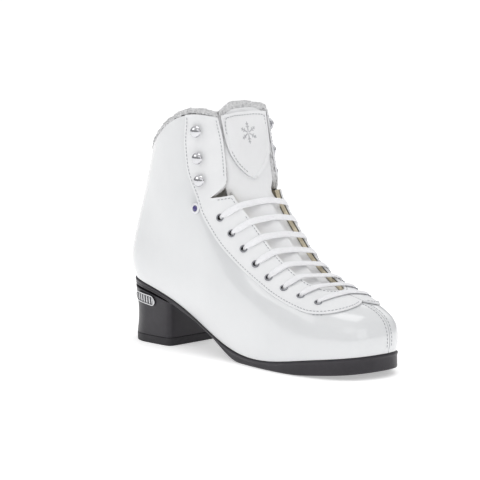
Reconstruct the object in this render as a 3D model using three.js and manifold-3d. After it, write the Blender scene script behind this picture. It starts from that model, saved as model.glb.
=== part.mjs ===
// A figure skating boot for the right foot, without its blade: glossy leather quarters, flexing cuffs
// with lace hooks, a padded tongue, a laced facing, and a moulded sole with a block heel.
// Millimetres, +X towards the toe, +Y to the wearer's left, +Z up. The origin is the middle of the
// heel's ground face.
import * as THREE from "three";
import { mergeVertices } from "three/addons/utils/BufferGeometryUtils.js";
import Module from "manifold-3d";

const wasm = await Module();
wasm.setup();

// ---------------------------------------------------------------- driving dimensions
const BOOT_SCALE = 1; // 1 is a foot of 240 mm
const BOOT_WIDTH = 1; // width for the same length: 1 is a medium fitting
const SIZE = new THREE.Vector3(1, BOOT_WIDTH, 1).multiplyScalar(BOOT_SCALE);
const HEEL_CENTRE_X = 31; // from the rearmost point of the heel seat to the origin
const GAP = 0.3; // between pieces that touch
const BACKING_OUT = 0.5; // depth of the backing's outer face
const LAYER_GAP = 0.8; // between the hidden layers inside the upper
const SEAM_GAP = 0.5; // between the two halves at the back and toe seams

const LEATHER = 1.8; // quarters and cuffs
const STIFFENER = 1.2; // heel counter and toe puff
const LINING = 1.2; // smooth lining of the foot
const FACING = 1.3; // reinforcing strip on top of the leather
const BACKING_IN = 3.2; // depth of the backing leather's inner face
const LAP = 2.6; // how far the facing overlaps the leather behind it
const BACKING_START = LAP + 1; // how far inside the facing's edge the backing begins
const PLUSH_IN = 8; // depth of the plush lining's inner face
const TONGUE_LEATHER = 1.4;
const TONGUE_PLUSH = 3.6;
const TONGUE_DEPTH = 7.9; // depth of the tongue's outer face under the facings
const TONGUE_CROWN = 2.6; // how far the tongue rises between them

const FLEX_Z = 118.6; // height at which the cuffs bend, level with the notch
const NOTCH_X = 112.6;
const COLLAR_RISE = 4.5; // plush above the leather's top edge

const EYELET_COUNT = 8;
const EYELET = { bore: 1.9, barrel: 2.4, flange: 3.1, flangeThickness: 0.7 };
const HOOK = { stem: 1.5, flange: 3, dome: 4.4, height: 4.6, sheet: 1 };
const RIVET = { stem: 1.6, washer: 4.1, cap: 2.2 };
const HOLE_CLEARANCE = 0.3; // round every barrel and stem
const LACE_RADIUS = 1.2;

const SOLE_WAIST = 6; // thickness of the sole under the arch and heel
const SOLE_FOREFOOT = 9.4;
const SOLE_MARGIN = 0.6; // how far the sole stands out from the feather line
const SHANK = { thickness: 1.5, width: 15, from: 34, to: 142 };
const INSOLE_BOARD = 2.4;
const FOOTBED = 4;
const HEEL_LIFT = 6;
const HEEL_BREAST_X = 57;
const HEEL_SCREW = { washer: 1.2, stem: 2.2, head: 4.6, headHeight: 1.6, reach: 22 };
const BADGE = { length: 23, height: 8, thickness: 1 };

// ---------------------------------------------------------------- small helpers
const lerp = THREE.MathUtils.lerp;
const smooth = (x, low, high) => THREE.MathUtils.smoothstep(x, low, high);

// A smooth function y(x) through points given as [x, y].
function curveThrough(points) {
  const xs = points.map((p) => p[0]);
  const ys = points.map((p) => p[1]);
  const spline = new THREE.CubicInterpolant(xs, ys, 1);
  return (x) => spline.evaluate(THREE.MathUtils.clamp(x, xs[0], xs.at(-1)))[0];
}

// ---------------------------------------------------------------- lines of the last
// Heights that the feather line, where the upper meets the sole, is drawn towards, and the foot's
// centre line in plan.
const featherPull = curveThrough([
  [0, 50], [20, 48], [40, 45], [60, 39.8], [80, 32], [100, 21.6], [120, 9.6],
  [135, 2.6], [152, 1.6], [175, 5.6], [205, 11.2], [235, 15], [258, 17.6],
]);
const centreLine = curveThrough([[0, 0], [100, -1.5], [170, -1], [225, 2], [258, 4]]);
const INNER_TRIM = [0, 0, 0, 1.5, 5, 9, 13.5, 12.5]; // the inner side is straighter than the outer
const TRIM_REACH = [125, 225]; // it starts above the ankle and is whole at the toe box
const ARCH_TUCK = 4; // how much the inner side draws in under the arch
const ARCH_STATION = 3;

// Rings round the boot from the feather line up: rear and front points in side view, how closely the
// ring follows the sole's curve, and half-widths at the stations, heel to toe.
const STATIONS = [0.04, 0.14, 0.3, 0.48, 0.66, 0.82, 0.93, 0.985];
const RINGS = [
  { back: [0.5, 49], front: [256.5, 17.4], sag: 1, half: [24, 28, 27, 31, 41, 43, 37, 24] },
  { back: [-3.5, 56], front: [258.5, 26], sag: 0.85, half: [25, 30.5, 31, 37, 44, 45.5, 38, 26] },
  { back: [-5, 65], front: [257, 37], sag: 0.68, half: [25, 31.5, 34, 39.5, 44.5, 44, 37, 24.5] },
  { back: [-3.5, 74], front: [250.5, 46], sag: 0.5, half: [23, 31, 35, 40, 43.5, 42, 34, 20] },
  { back: [-1, 84], front: [236, 52.3], sag: 0.33, half: [21, 30, 35, 39.5, 42.5, 40, 30, 15] },
  { back: [2, 95], front: [215, 55.5], sag: 0.18, half: [19, 29, 35, 38.5, 41, 37.5, 26, 12] },
  { back: [5.8, 105], front: [190.5, 67.5], sag: 0.07, half: [17, 27.5, 35, 38, 40, 35, 22.5, 10.5] },
  { back: [10.4, 116], front: [166, 87.5], sag: 0, half: [16, 26, 34.5, 37.5, 39, 33.5, 22, 10.5] },
  { back: [15.4, 127], front: [146, 111], sag: 0, half: [15.5, 25.5, 34, 37, 38, 29, 18.5, 9] },
  { back: [20.5, 139], front: [134, 131], sag: 0, half: [15, 25.5, 33.5, 36.5, 37.5, 31.5, 20, 9.5] },
  { back: [25.4, 150], front: [127, 152], sag: 0, half: [15, 25.5, 33.5, 36.5, 37, 33, 22, 10.5] },
  { back: [31, 162], front: [121, 178], sag: 0, half: [15, 26, 34, 37, 36.5, 32.5, 21, 10.5] },
  { back: [35, 174], front: [118, 196], sag: 0, half: [15.5, 26.5, 34.5, 37, 36.5, 32.5, 21, 10.5] },
];
const TOP_RING = RINGS.length - 1;
const HALF_STEPS = STATIONS.length + 1; // spline steps from the back seam to the toe seam

function ringPoint({ back, front, sag, half }, station, side) {
  const t = station < 0 ? 0 : station >= STATIONS.length ? 1 : STATIONS[station];
  const x = lerp(back[0], front[0], t);
  const chord = lerp(back[1], front[1], t);
  const [footBack, footFront] = [RINGS[0].back, RINGS[0].front];
  const footT = (x - footBack[0]) / (footFront[0] - footBack[0]);
  const dip = featherPull(x) - lerp(footBack[1], footFront[1], footT);
  const trim = side > 0 ? (INNER_TRIM[station] ?? 0) * smooth(front[0], ...TRIM_REACH) : 0;
  const width = (half[station] ?? 0) - trim;
  const tuck = side > 0 && Math.abs(station - ARCH_STATION) < 2 ? ARCH_TUCK * sag * sag : 0;
  const edge = station === ARCH_STATION ? tuck : tuck / 2;
  return new THREE.Vector3(x, centreLine(x) + side * (width - edge), chord + sag * dip);
}

// The control net: each ring closed, from the back seam round the right side to the toe and back.
const NET = RINGS.map((ring) => {
  const ringNet = [ringPoint(ring, -1, 1)];
  for (let k = 0; k < STATIONS.length; k++) ringNet.push(ringPoint(ring, k, -1));
  ringNet.push(ringPoint(ring, STATIONS.length, 1));
  for (let k = STATIONS.length - 1; k >= 0; k--) ringNet.push(ringPoint(ring, k, 1));
  return ringNet;
});

const cubicWeights = (f) => [
  (1 - f) ** 3 / 6,
  (3 * f ** 3 - 6 * f ** 2 + 4) / 6,
  (-3 * f ** 3 + 3 * f ** 2 + 3 * f + 1) / 6,
  f ** 3 / 6,
];

// A row of the net, mirrored through the end rows so that the surface passes through them.
function netRow(j, k) {
  if (j < 0) return NET[0][k].clone().multiplyScalar(2).sub(NET[1][k]);
  if (j > TOP_RING) return NET[TOP_RING][k].clone().multiplyScalar(2).sub(NET[TOP_RING - 1][k]);
  return NET[j][k];
}

// The outer surface of the boot as a cubic B-spline. side is -1 for right and 1 for left; s runs from
// the back seam, 0, to the toe seam, 1, and beyond it to the other side; v counts rings upwards.
function lastPoint(side, s, v) {
  const around = 2 * HALF_STEPS;
  const u = ((side < 0 ? s : 2 - s) * HALF_STEPS + around) % around;
  const iu = Math.floor(u);
  const iv = THREE.MathUtils.clamp(Math.floor(v), 0, TOP_RING - 1);
  const [wu, wv] = [cubicWeights(u - iu), cubicWeights(v - iv)];
  const point = new THREE.Vector3();
  for (let j = 0; j < 4; j++)
    for (let k = 0; k < 4; k++)
      point.addScaledVector(netRow(iv - 1 + j, (iu - 1 + k + around) % around), wv[j] * wu[k]);
  return point.multiply(SIZE);
}

function lastNormal(side, s, v) {
  const step = 0.01;
  const across = lastPoint(side, s + step, v).sub(lastPoint(side, s - step, v));
  const up = lastPoint(side, s, v + step).sub(lastPoint(side, s, v - step));
  return across.cross(up).multiplyScalar(side < 0 ? 1 : -1).normalize();
}

// The place on the surface, as [s, v], that shows at (x, z) in side view, at (|y|, z) in front view or
// at (x, |y|) in plan.
const VIEWS = {
  side: { lowest: 0.04, seen: (p) => [p.x, p.z] },
  front: { lowest: 0.62, seen: (p, side) => [side * p.y, p.z] },
  plan: { lowest: 0.62, seen: (p, side) => [p.x, side * p.y] },
};
function locate(side, wanted, view = "side") {
  const { lowest, seen } = VIEWS[view];
  const miss = (s, v) => {
    const shown = seen(lastPoint(side, s, v).divide(SIZE), side);
    return [shown[0] - wanted[0], shown[1] - wanted[1]];
  };
  let best = [0.5, 5];
  let least = Infinity;
  for (let s = lowest; s < 0.99; s += 0.04)
    for (let v = 0.25; v < TOP_RING; v += 0.5) {
      const size = Math.hypot(...miss(s, v));
      if (size < least) [least, best] = [size, [s, v]];
    }
  let [s, v] = best;
  for (let round = 0; round < 8; round++) {
    const step = 1e-3;
    const here = miss(s, v);
    const ds = miss(s + step, v).map((m, i) => (m - here[i]) / step);
    const dv = miss(s, v + step).map((m, i) => (m - here[i]) / step);
    const det = ds[0] * dv[1] - ds[1] * dv[0];
    const slide = (here[0] * dv[1] - here[1] * dv[0]) / det;
    const climb = (ds[0] * here[1] - ds[1] * here[0]) / det;
    s = THREE.MathUtils.clamp(s - slide, 0.005, 0.995);
    v = THREE.MathUtils.clamp(v - climb, 0, TOP_RING);
  }
  return [s, v];
}

// Ring at which a seam, the back one at s 0 or the toe one at s 1, reaches a height or a length.
function seamRing(s, reached) {
  let [low, high] = [0, TOP_RING];
  for (let round = 0; round < 40; round++) {
    const middle = (low + high) / 2;
    if (reached(lastPoint(-1, s, middle).divide(SIZE))) high = middle;
    else low = middle;
  }
  return low;
}
const backSeamAt = (z) => [0, seamRing(0, (p) => p.z > z)];
const toeSeamAt = (x) => [1, seamRing(1, (p) => p.x < x && p.z > 40)];

// ---------------------------------------------------------------- sheets that follow the surface
// An edge of a sheet: a smooth line through [s, v] places, cut into steps of equal length on the boot.
function edgeLine(side, places, steps) {
  const curve = new THREE.CatmullRomCurve3(
    places.map(([s, v]) => new THREE.Vector3(s * TOP_RING, v, 0)),
    false,
    "centripetal",
  );
  const fine = Array.from({ length: 201 }, (_, i) => {
    const p = curve.getPoint(i / 200);
    return [p.x / TOP_RING, p.y];
  });
  const reach = [0];
  for (let i = 1; i < fine.length; i++) {
    const length = lastPoint(side, ...fine[i]).distanceTo(lastPoint(side, ...fine[i - 1]));
    reach.push(reach[i - 1] + length);
  }
  const line = [];
  for (let i = 0, k = 0; i <= steps; i++) {
    const wanted = (reach.at(-1) * i) / steps;
    while (k < fine.length - 2 && reach[k + 1] < wanted) k++;
    const f = THREE.MathUtils.clamp((wanted - reach[k]) / (reach[k + 1] - reach[k]), 0, 1);
    line.push([lerp(fine[k][0], fine[k + 1][0], f), lerp(fine[k][1], fine[k + 1][1], f)]);
  }
  return line;
}

// A four-sided field of [s, v] places between its edges: below and above run the same way, as do
// rear and front, and each is a list of places.
function field(below, above, rear, front) {
  const [nu, nv] = [below.length - 1, rear.length - 1];
  return below.map((_, i) =>
    rear.map((__, j) =>
      [0, 1].map((c) => {
        const [u, v] = [i / nu, j / nv];
        const ruled = lerp(below[i][c], above[i][c], v) + lerp(rear[j][c], front[j][c], u);
        const low = lerp(below[0][c], below[nu][c], u);
        const high = lerp(above[0][c], above[nu][c], u);
        return ruled - lerp(low, high, v);
      }),
    ),
  );
}

// Moves the field so that one of its places falls on target, for a hole to be punched there.
function punch(places, side, target, radius) {
  const wanted = lastPoint(side, ...target);
  let [i0, j0, least] = [1, 1, Infinity];
  for (let i = 1; i < places.length - 1; i++)
    for (let j = 1; j < places[0].length - 1; j++) {
      const size = lastPoint(side, ...places[i][j]).distanceTo(wanted);
      if (size < least) [i0, j0, least] = [i, j, size];
    }
  const shift = [0, 1].map((c) => target[c] - places[i0][j0][c]);
  const reach = 2.2;
  for (let i = 1; i < places.length - 1; i++)
    for (let j = 1; j < places[0].length - 1; j++) {
      const near = 1 - smooth(Math.hypot(i - i0, j - j0), 1, reach + 0.01);
      for (const c of [0, 1]) places[i][j][c] += shift[c] * near;
    }
  return { i: i0, j: j0, radius };
}

// A closed solid sheet on a field of points. at(i, j) gives { point, normal, inner, outer }: the
// place on the boot and the heights of the two faces along the normal.
function sheet(nu, nv, at, holes = []) {
  const positions = [];
  const index = [];
  const ids = [0, 1].map(() => []);
  const put = (p) => positions.push(p.x, p.y, p.z) / 3 - 1;
  const quad = (a, b, c, d) => index.push(a, b, c, a, c, d);
  for (let level = 0; level < 2; level++)
    for (let i = 0; i <= nu; i++)
      for (let j = 0; j <= nv; j++) {
        const { point, normal, inner, outer } = at(i, j);
        const height = level ? outer : inner;
        ids[level][i * (nv + 1) + j] = put(point.clone().addScaledVector(normal, height));
      }
  const id = (level, i, j) => ids[level][i * (nv + 1) + j];
  const holed = (i, j) =>
    holes.some((h) => (i === h.i || i === h.i - 1) && (j === h.j || j === h.j - 1));
  for (let i = 0; i < nu; i++)
    for (let j = 0; j < nv; j++) {
      if (holed(i, j)) continue;
      quad(id(1, i, j), id(1, i + 1, j), id(1, i + 1, j + 1), id(1, i, j + 1));
      quad(id(0, i, j), id(0, i, j + 1), id(0, i + 1, j + 1), id(0, i + 1, j));
    }
  const rim = [];
  for (let i = 0; i < nu; i++) rim.push([i, 0]);
  for (let j = 0; j < nv; j++) rim.push([nu, j]);
  for (let i = nu; i > 0; i--) rim.push([i, nv]);
  for (let j = nv; j > 0; j--) rim.push([0, j]);
  rim.forEach((a, n) => {
    const b = rim[(n + 1) % rim.length];
    quad(id(0, ...a), id(0, ...b), id(1, ...b), id(1, ...a));
  });
  const around = [[-1, -1], [0, -1], [1, -1], [1, 0], [1, 1], [0, 1], [-1, 1], [-1, 0]];
  for (const h of holes) {
    const { point, normal, inner, outer } = at(h.i, h.j);
    const first = at(h.i - 1, h.j - 1).point.sub(point).projectOnPlane(normal).normalize();
    const next = at(h.i, h.j - 1).point.sub(point);
    const turn = Math.sign(first.clone().cross(next).dot(normal)) || 1;
    const ring = [inner, outer].map((height) =>
      around.map((_, k) => {
        const arm = first.clone().applyAxisAngle(normal, (turn * k * Math.PI) / 4);
        const foot = point.clone().addScaledVector(normal, height);
        return put(foot.addScaledVector(arm, h.radius));
      }),
    );
    around.forEach(([di, dj], k) => {
      const m = (k + 1) % around.length;
      const [ei, ej] = around[m];
      const corner = (level, a, b) => id(level, h.i + a, h.j + b);
      quad(corner(1, di, dj), corner(1, ei, ej), ring[1][m], ring[1][k]);
      quad(corner(0, di, dj), ring[0][k], ring[0][m], corner(0, ei, ej));
      quad(ring[0][k], ring[1][k], ring[1][m], ring[0][m]);
    });
  }
  return closedGeometry(positions, index);
}

// A geometry from positions and an index, turned to face outwards and without its unused points.
function closedGeometry(positions, index) {
  let volume = 0;
  const corner = (n) => new THREE.Vector3().fromArray(positions, 3 * index[n]);
  for (let n = 0; n < index.length; n += 3)
    volume += corner(n).dot(corner(n + 1).cross(corner(n + 2)));
  if (volume < 0)
    for (let n = 0; n < index.length; n += 3)
      [index[n + 1], index[n + 2]] = [index[n + 2], index[n + 1]];
  const geometry = new THREE.BufferGeometry();
  geometry.setAttribute("position", new THREE.Float32BufferAttribute(positions, 3));
  geometry.setIndex(index);
  return geometry;
}

// A sheet of the boot on a field of places, between two depths that may vary over the field.
function panel(side, places, inner, outer, { holes = [], seamGap = SEAM_GAP / 2 } = {}) {
  const [nu, nv] = [places.length - 1, places[0].length - 1];
  const depth = (d, i, j) => (typeof d === "function" ? d(i / nu, j / nv) : d);
  const cache = new Map();
  return sheet(nu, nv, (i, j) => {
    const key = i * (nv + 1) + j;
    if (!cache.has(key)) {
      const place = places[i][j];
      const point = lastPoint(side, ...place);
      point.y += side * seamGap;
      cache.set(key, { point, normal: lastNormal(side, ...place) });
    }
    const { point, normal } = cache.get(key);
    return { point: point.clone(), normal, inner: depth(inner, i, j), outer: depth(outer, i, j) };
  }, holes);
}


// ---------------------------------------------------------------- seam and edge lines of each side
const SIDES = { right: -1, left: 1 };
const sideView = (side, points) => points.map((p) => locate(side, p));
const frontView = (side, points) => points.map((p) => locate(side, p, "front"));
const surfaceDistance = (side, a, b) => lastPoint(side, ...a).distanceTo(lastPoint(side, ...b));

// A line moved towards another by a distance on the surface.
function shifted(side, from, to, distance) {
  return from.map((a, i) => {
    const b = to[Math.min(i, to.length - 1)];
    const f = distance / Math.max(surfaceDistance(side, a, b), distance);
    return [lerp(a[0], b[0], f), lerp(a[1], b[1], f)];
  });
}

// The same line without a given length at either end.
function trimmed(side, line, fromStart, fromEnd) {
  const steps = line.length - 1;
  const reach = [0];
  for (let i = 1; i <= steps; i++)
    reach.push(reach[i - 1] + surfaceDistance(side, line[i - 1], line[i]));
  const [low, high] = [fromStart, reach[steps] - fromEnd];
  return line.map((_, i) => {
    const wanted = lerp(low, high, i / steps);
    let k = 0;
    while (k < steps - 1 && reach[k + 1] < wanted) k++;
    const f = (wanted - reach[k]) / (reach[k + 1] - reach[k]);
    return [lerp(line[k][0], line[k + 1][0], f), lerp(line[k][1], line[k + 1][1], f)];
  });
}

const FACING_REAR_X = 101.5; // where the facing's rear seam meets the flex line
const THROAT_X = 211; // front end of the lacing gap
const VAMP_X = 231.5; // front end of the facing
const REAR_SEAM = [[107.4, 106.8], [114.2, 98.9], [126.5, 86.6], [143, 74.4], [163, 62.8], [184, 53.6]];
const VAMP_SEAM = [[200, 48.6], [216.5, 45.2]];
const LACING_EDGE = [[24.5, 115.3], [22.5, 104.6], [21.6, 94.3], [21.2, 84.3], [20, 75.2], [18.6, 67.1]];
const THROAT_EDGE = [[16.8, 61.1], [12.5, 57.6]];
const CUFF_SEAM = [[96.6, 127.3], [92.4, 136.3], [90.4, 146.4], [89, 159.9], [90, 172]];
const CUFF_FRONT = [[121.2, 131], [118.5, 146.5], [115.7, 160.9]];
const TOP_LINE = [[42, 153.6], [66.4, 168.8], [80.5, 175.8]];
const TOP_BACK_Z = 138.5;
const CUFF_TOP_REAR = [90, 178.6];
const CUFF_TOP_MIDDLE = [[98, 179.3], [105, 178.7]];
const CUFF_TOP_FRONT = [111.6, 177];
const NOTCH_LOW_CORNER = [126.4, 121.2];
const NOTCH_HIGH_CORNER = [121.2, 128.4];
const FLEX_GAP = 0.5;

// Steps of the fields: along the foot or round the leg, and across.
const STEPS = { flex: 12, facing: 34, facingAcross: 5, facingJoined: 2, cuffUp: 8, cuffFacing: 4 };

function sideLines(side) {
  const flexAt = (x, dz) => locate(side, [x, FLEX_Z + dz]);
  const half = FLEX_GAP / 2;
  const flexBelow = [backSeamAt(FLEX_Z - half), ...[30, 55, 80].map((x) => flexAt(x, -half))];
  const flexAbove = [backSeamAt(FLEX_Z + half), ...[30, 55, 80].map((x) => flexAt(x, half))];
  const rearLow = flexAt(FACING_REAR_X, -half);
  const rearHigh = flexAt(FACING_REAR_X, half);
  const notchLow = [flexAt(NOTCH_X, -half), locate(side, NOTCH_LOW_CORNER)];
  const notchHigh = [flexAt(NOTCH_X, half), locate(side, NOTCH_HIGH_CORNER)];
  const rearSeam = [rearLow, ...sideView(side, [...REAR_SEAM, ...VAMP_SEAM]), toeSeamAt(VAMP_X)];
  const lacing = [
    locate(side, NOTCH_LOW_CORNER),
    ...frontView(side, [...LACING_EDGE, ...THROAT_EDGE]),
    toeSeamAt(THROAT_X),
  ];
  const topRear = locate(side, CUFF_TOP_REAR);
  const topFront = locate(side, CUFF_TOP_FRONT);
  const topLine = [backSeamAt(TOP_BACK_Z), ...sideView(side, TOP_LINE), topRear];
  const cuffSeam = [rearHigh, ...sideView(side, CUFF_SEAM), topRear];
  const cuffFront = [notchHigh[1], ...sideView(side, CUFF_FRONT), topFront];
  return {
    flexBelow, flexAbove, rearLow, rearHigh, notchLow, notchHigh, rearSeam, lacing, topRear, topFront,
    topLine, cuffSeam, cuffFront,
  };
}
const LINES = { right: sideLines(SIDES.right), left: sideLines(SIDES.left) };

// ---------------------------------------------------------------- the lower part of the upper
// The facing's end at the flex line: the joined part, then the edge of the notch.
function notchedEnd(side, [rear, corner, front], openSteps) {
  const joined = edgeLine(side, [rear, corner], STEPS.facingJoined);
  return [...joined, ...edgeLine(side, [corner, front], openSteps).slice(1)];
}

function lowerFacingField(name, steps, across) {
  const side = SIDES[name];
  const L = LINES[name];
  const below = edgeLine(side, L.rearSeam, steps);
  const above = edgeLine(side, L.lacing, steps);
  const rear = notchedEnd(side, [L.rearLow, ...L.notchLow], across - STEPS.facingJoined);
  const front = edgeLine(side, [toeSeamAt(VAMP_X), toeSeamAt(THROAT_X)], across);
  return { below, above, rear, front };
}

const OUTER_STEPS = { seamSteps: 24, flexSteps: 12, rows: 9 };
const LINING_STEPS = { seamSteps: 14, flexSteps: 10, rows: 6 };

function quarterField(name, lap, { seamSteps, flexSteps, rows }) {
  const side = SIDES[name];
  const L = LINES[name];
  const seam = edgeLine(side, L.rearSeam, seamSteps);
  const edge = edgeLine(side, L.lacing, seamSteps);
  const front = shifted(side, seam, edge, lap);
  const notch = edgeLine(side, [L.rearLow, L.notchLow[0]], 4);
  const flexEnd = shifted(side, [L.rearLow], [notch[4]], lap)[0];
  const flex = edgeLine(side, [...L.flexBelow, flexEnd], flexSteps);
  front[0] = flexEnd;
  const toeEnd = front.at(-1);
  const below = edgeLine(side, [0, 0.2, 0.4, 0.6, 0.8, 1].map((s) => [s, 0]), seamSteps + flexSteps);
  const above = [...flex, ...front.slice(1)];
  const rear = edgeLine(side, [[0, 0], [0, flex[0][1] / 2], flex[0]], rows);
  const toe = edgeLine(side, [[1, 0], [1, toeEnd[1] / 2], toeEnd], rows);
  return field(below, above, rear, toe);
}

// Eyelet places beside the lacing edge, evenly spaced: their line in side view at the ankle, and as
// [x, |y|] in plan on the instep.
const EYELETS_AT_ANKLE = [[123, 104.8], [146.5, 84]];
const EYELETS_ON_INSTEP = [[172, 33.4], [200.9, 30.6], [215.6, 28.2]];
const INNER_EYELETS = 7; // the inner row lies this much nearer the middle
const eyeletPlaces = (name) => {
  const side = SIDES[name];
  const inner = side > 0 ? INNER_EYELETS : 0;
  const instep = EYELETS_ON_INSTEP.map(([x, y]) => locate(side, [x, y - inner], "plan"));
  return edgeLine(side, [...sideView(side, EYELETS_AT_ANKLE), ...instep], EYELET_COUNT - 1);
};

const HOOK_PLACES = [[104.5, 131], [102.5, 147.3], [100.5, 166.7]];
const RIVET_PLACE = [100.8, 110.4];

const quarter = (name) => {
  const places = quarterField(name, LAP, OUTER_STEPS);
  const rivet = punch(places, SIDES[name], locate(SIDES[name], RIVET_PLACE), RIVET.stem + HOLE_CLEARANCE);
  return panel(SIDES[name], places, -LEATHER, 0, { holes: [rivet] });
};

const facingLower = (name) => {
  const side = SIDES[name];
  const { below, above, rear, front } = lowerFacingField(name, STEPS.facing, STEPS.facingAcross);
  const places = field(below, above, rear, front);
  const radius = EYELET.barrel + HOLE_CLEARANCE;
  const holes = eyeletPlaces(name).map((place) => punch(places, side, place, radius));
  return panel(side, places, GAP, GAP + FACING, { holes });
};

// The backing starts where the quarter ends, so that the facing lies on both.
const backingLower = (name) => {
  const side = SIDES[name];
  const edges = lowerFacingField(name, STEPS.facing, STEPS.facingAcross);
  const below = shifted(side, edges.below, edges.above, BACKING_START);
  const above = edges.above;
  const rear = trimmed(side, edges.rear, BACKING_START, 0);
  const front = trimmed(side, edges.front, BACKING_START, 0);
  const places = field(replaceEnds(below, rear[0], front[0]), above, rear, front);
  const radius = EYELET.barrel + HOLE_CLEARANCE;
  const holes = eyeletPlaces(name).map((place) => punch(places, side, place, radius));
  return panel(side, places, -BACKING_IN, -BACKING_OUT, { holes });
};

function replaceEnds(line, first, last) {
  return [first, ...line.slice(1, -1), last];
}

// ---------------------------------------------------------------- the cuffs
function cuffField(name, lap, topDrop = 0) {
  const side = SIDES[name];
  const L = LINES[name];
  const seam = edgeLine(side, L.cuffSeam, STEPS.cuffUp);
  const frontEdge = edgeLine(side, L.cuffFront, STEPS.cuffUp);
  const front = shifted(side, seam, frontEdge, lap);
  const flexEnd = shifted(side, [L.rearHigh], [L.notchHigh[0]], lap)[0];
  const topEnd = shifted(side, [L.topRear], [L.topFront], lap)[0];
  const below = edgeLine(side, [...L.flexAbove, flexEnd], STEPS.flex);
  const above = edgeLine(side, [...L.topLine.slice(0, -1), topEnd], STEPS.flex);
  const frontLine = replaceEnds(front, flexEnd, topEnd);
  const backTop = above[0];
  const rear = edgeLine(side, [below[0], [0, (below[0][1] + backTop[1]) / 2], backTop], STEPS.cuffUp);
  const places = field(below, above, rear, frontLine);
  return topDrop ? places.map((row) => lowered(side, row, topDrop)) : places;
}

// A row of places that ends a little short of its top.
const lowered = (side, row, drop) => trimmed(side, row, 0, drop);

const cuff = (name) => panel(SIDES[name], cuffField(name, LAP), -LEATHER, 0);

function cuffFacingEdges(name) {
  const side = SIDES[name];
  const L = LINES[name];
  return {
    below: notchedEnd(side, [L.rearHigh, ...L.notchHigh], STEPS.cuffFacing - STEPS.facingJoined),
    above: edgeLine(side, [L.topRear, ...sideView(side, CUFF_TOP_MIDDLE), L.topFront], STEPS.cuffFacing),
    rear: edgeLine(side, L.cuffSeam, 14),
    front: edgeLine(side, L.cuffFront, 14),
  };
}

function punchHooks(name, places) {
  const side = SIDES[name];
  const radius = HOOK.stem + HOLE_CLEARANCE;
  return HOOK_PLACES.map((place) => punch(places, side, locate(side, place), radius));
}

const facingCuff = (name) => {
  const { below, above, rear, front } = cuffFacingEdges(name);
  const places = field(below, above, rear, front);
  return panel(SIDES[name], places, GAP, GAP + FACING, { holes: punchHooks(name, places) });
};

const backingCuff = (name) => {
  const side = SIDES[name];
  const edges = cuffFacingEdges(name);
  const below = trimmed(side, edges.below, BACKING_START, 0);
  const above = trimmed(side, edges.above, BACKING_START, 0);
  const rear = replaceEnds(shifted(side, edges.rear, edges.front, BACKING_START), below[0], above[0]);
  const places = field(below, above, rear, edges.front);
  return panel(side, places, -BACKING_IN, -BACKING_OUT, { holes: punchHooks(name, places) });
};

// ---------------------------------------------------------------- linings and stiffeners
const STIFFENER_OUT = LEATHER + LAYER_GAP;
const LINING_OUT = STIFFENER_OUT + STIFFENER + LAYER_GAP;
const LINING_RISE = 0.22; // how far above the feather line the lining starts, in rings
const LINING_LAP = 1.2; // the lining stops this far short of the backing

const liningLower = (name) => {
  const places = quarterField(name, -LINING_LAP, LINING_STEPS).map((row) => {
    const low = row[0][1] + LINING_RISE;
    return row.map(([s, v], j) => [s, Math.max(v, low + j * 0.02)]);
  });
  return panel(SIDES[name], places, -LINING_OUT - LINING, -LINING_OUT);
};

const liningCuff = (name) =>
  panel(SIDES[name], cuffField(name, -LINING_LAP, 2), -PLUSH_IN, -STIFFENER_OUT);

// A stiffener across a seam: s runs from one side to the other through it.
function stiffener(fromS, toS, low, high, steps, rows) {
  const places = Array.from({ length: steps + 1 }, (_, i) => {
    const u = i / steps;
    const end = Math.abs(2 * u - 1) ** 3;
    return Array.from({ length: rows + 1 }, (__, j) => [
      lerp(fromS, toS, u),
      lerp(low, high - end * (high - low) * 0.45, j / rows),
    ]);
  });
  return panel(-1, places, -STIFFENER_OUT - STIFFENER, -STIFFENER_OUT, { seamGap: 0 });
}

// The plush roll on the leather's top edge, from the back seam to the cuff's front corner.
const collar = (name) => {
  const side = SIDES[name];
  const L = LINES[name];
  const top = edgeLine(side, [...L.topLine, ...sideView(side, CUFF_TOP_MIDDLE), L.topFront], 20);
  const rows = 5;
  const places = top.map((place) => {
    const [s, v] = place;
    const perRing = surfaceDistance(side, [s, v - 0.5], [s, v + 0.4]) / 0.9;
    return Array.from({ length: rows + 1 }, (_, j) => [
      s,
      v + (GAP + ((COLLAR_RISE - GAP) * j) / rows) / perRing,
    ]);
  });
  const bulge = (v) => 2.6 * v ** 3;
  return panel(side, places, (u, v) => -PLUSH_IN + bulge(v), (u, v) => 0.4 - 2 * bulge(v) / 2.6);
};

// ---------------------------------------------------------------- tongue
const TONGUE_FOLD_V = 8.62; // ring at which the tongue bends
const TONGUE_TOP_V = 11.36;
const TONGUE_ROOT_V = 4.7;
const TONGUE_GAP_V = 0.025; // half the gap at the bend, in rings

// Depth of the tongue's outer face: a crown between the facings, flatter and deeper at the top.
function tongueDepth(s, v) {
  const off = Math.abs(1 - s);
  const low = lerp(TONGUE_DEPTH - TONGUE_CROWN, TONGUE_DEPTH, smooth(off, 0.04, 0.2));
  const high = lerp(9.6, 5.4, smooth(off, 0.02, 0.2));
  return lerp(low, high, smooth(v, 7.9, 9.3));
}
const tongueHalfWidth = curveThrough([
  [4.7, 0.15], [5.5, 0.23], [6.5, 0.28], [7.5, 0.3], [9, 0.3], [10.2, 0.285], [11, 0.255], [11.7, 0.23],
]);

function tonguePlaces(lowV, highV, steps, rows, inset = 0) {
  return Array.from({ length: steps + 1 }, (_, i) =>
    Array.from({ length: rows + 1 }, (__, j) => {
      const v = lerp(lowV, highV, j / rows);
      const u = (2 * i) / steps - 1;
      const top = highV > TONGUE_FOLD_V + 1 ? 0.22 * u ** 4 * smooth(j / rows, 0.7, 1) : 0;
      return [1 + u * (tongueHalfWidth(v) - inset), v - top];
    }),
  );
}

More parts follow.
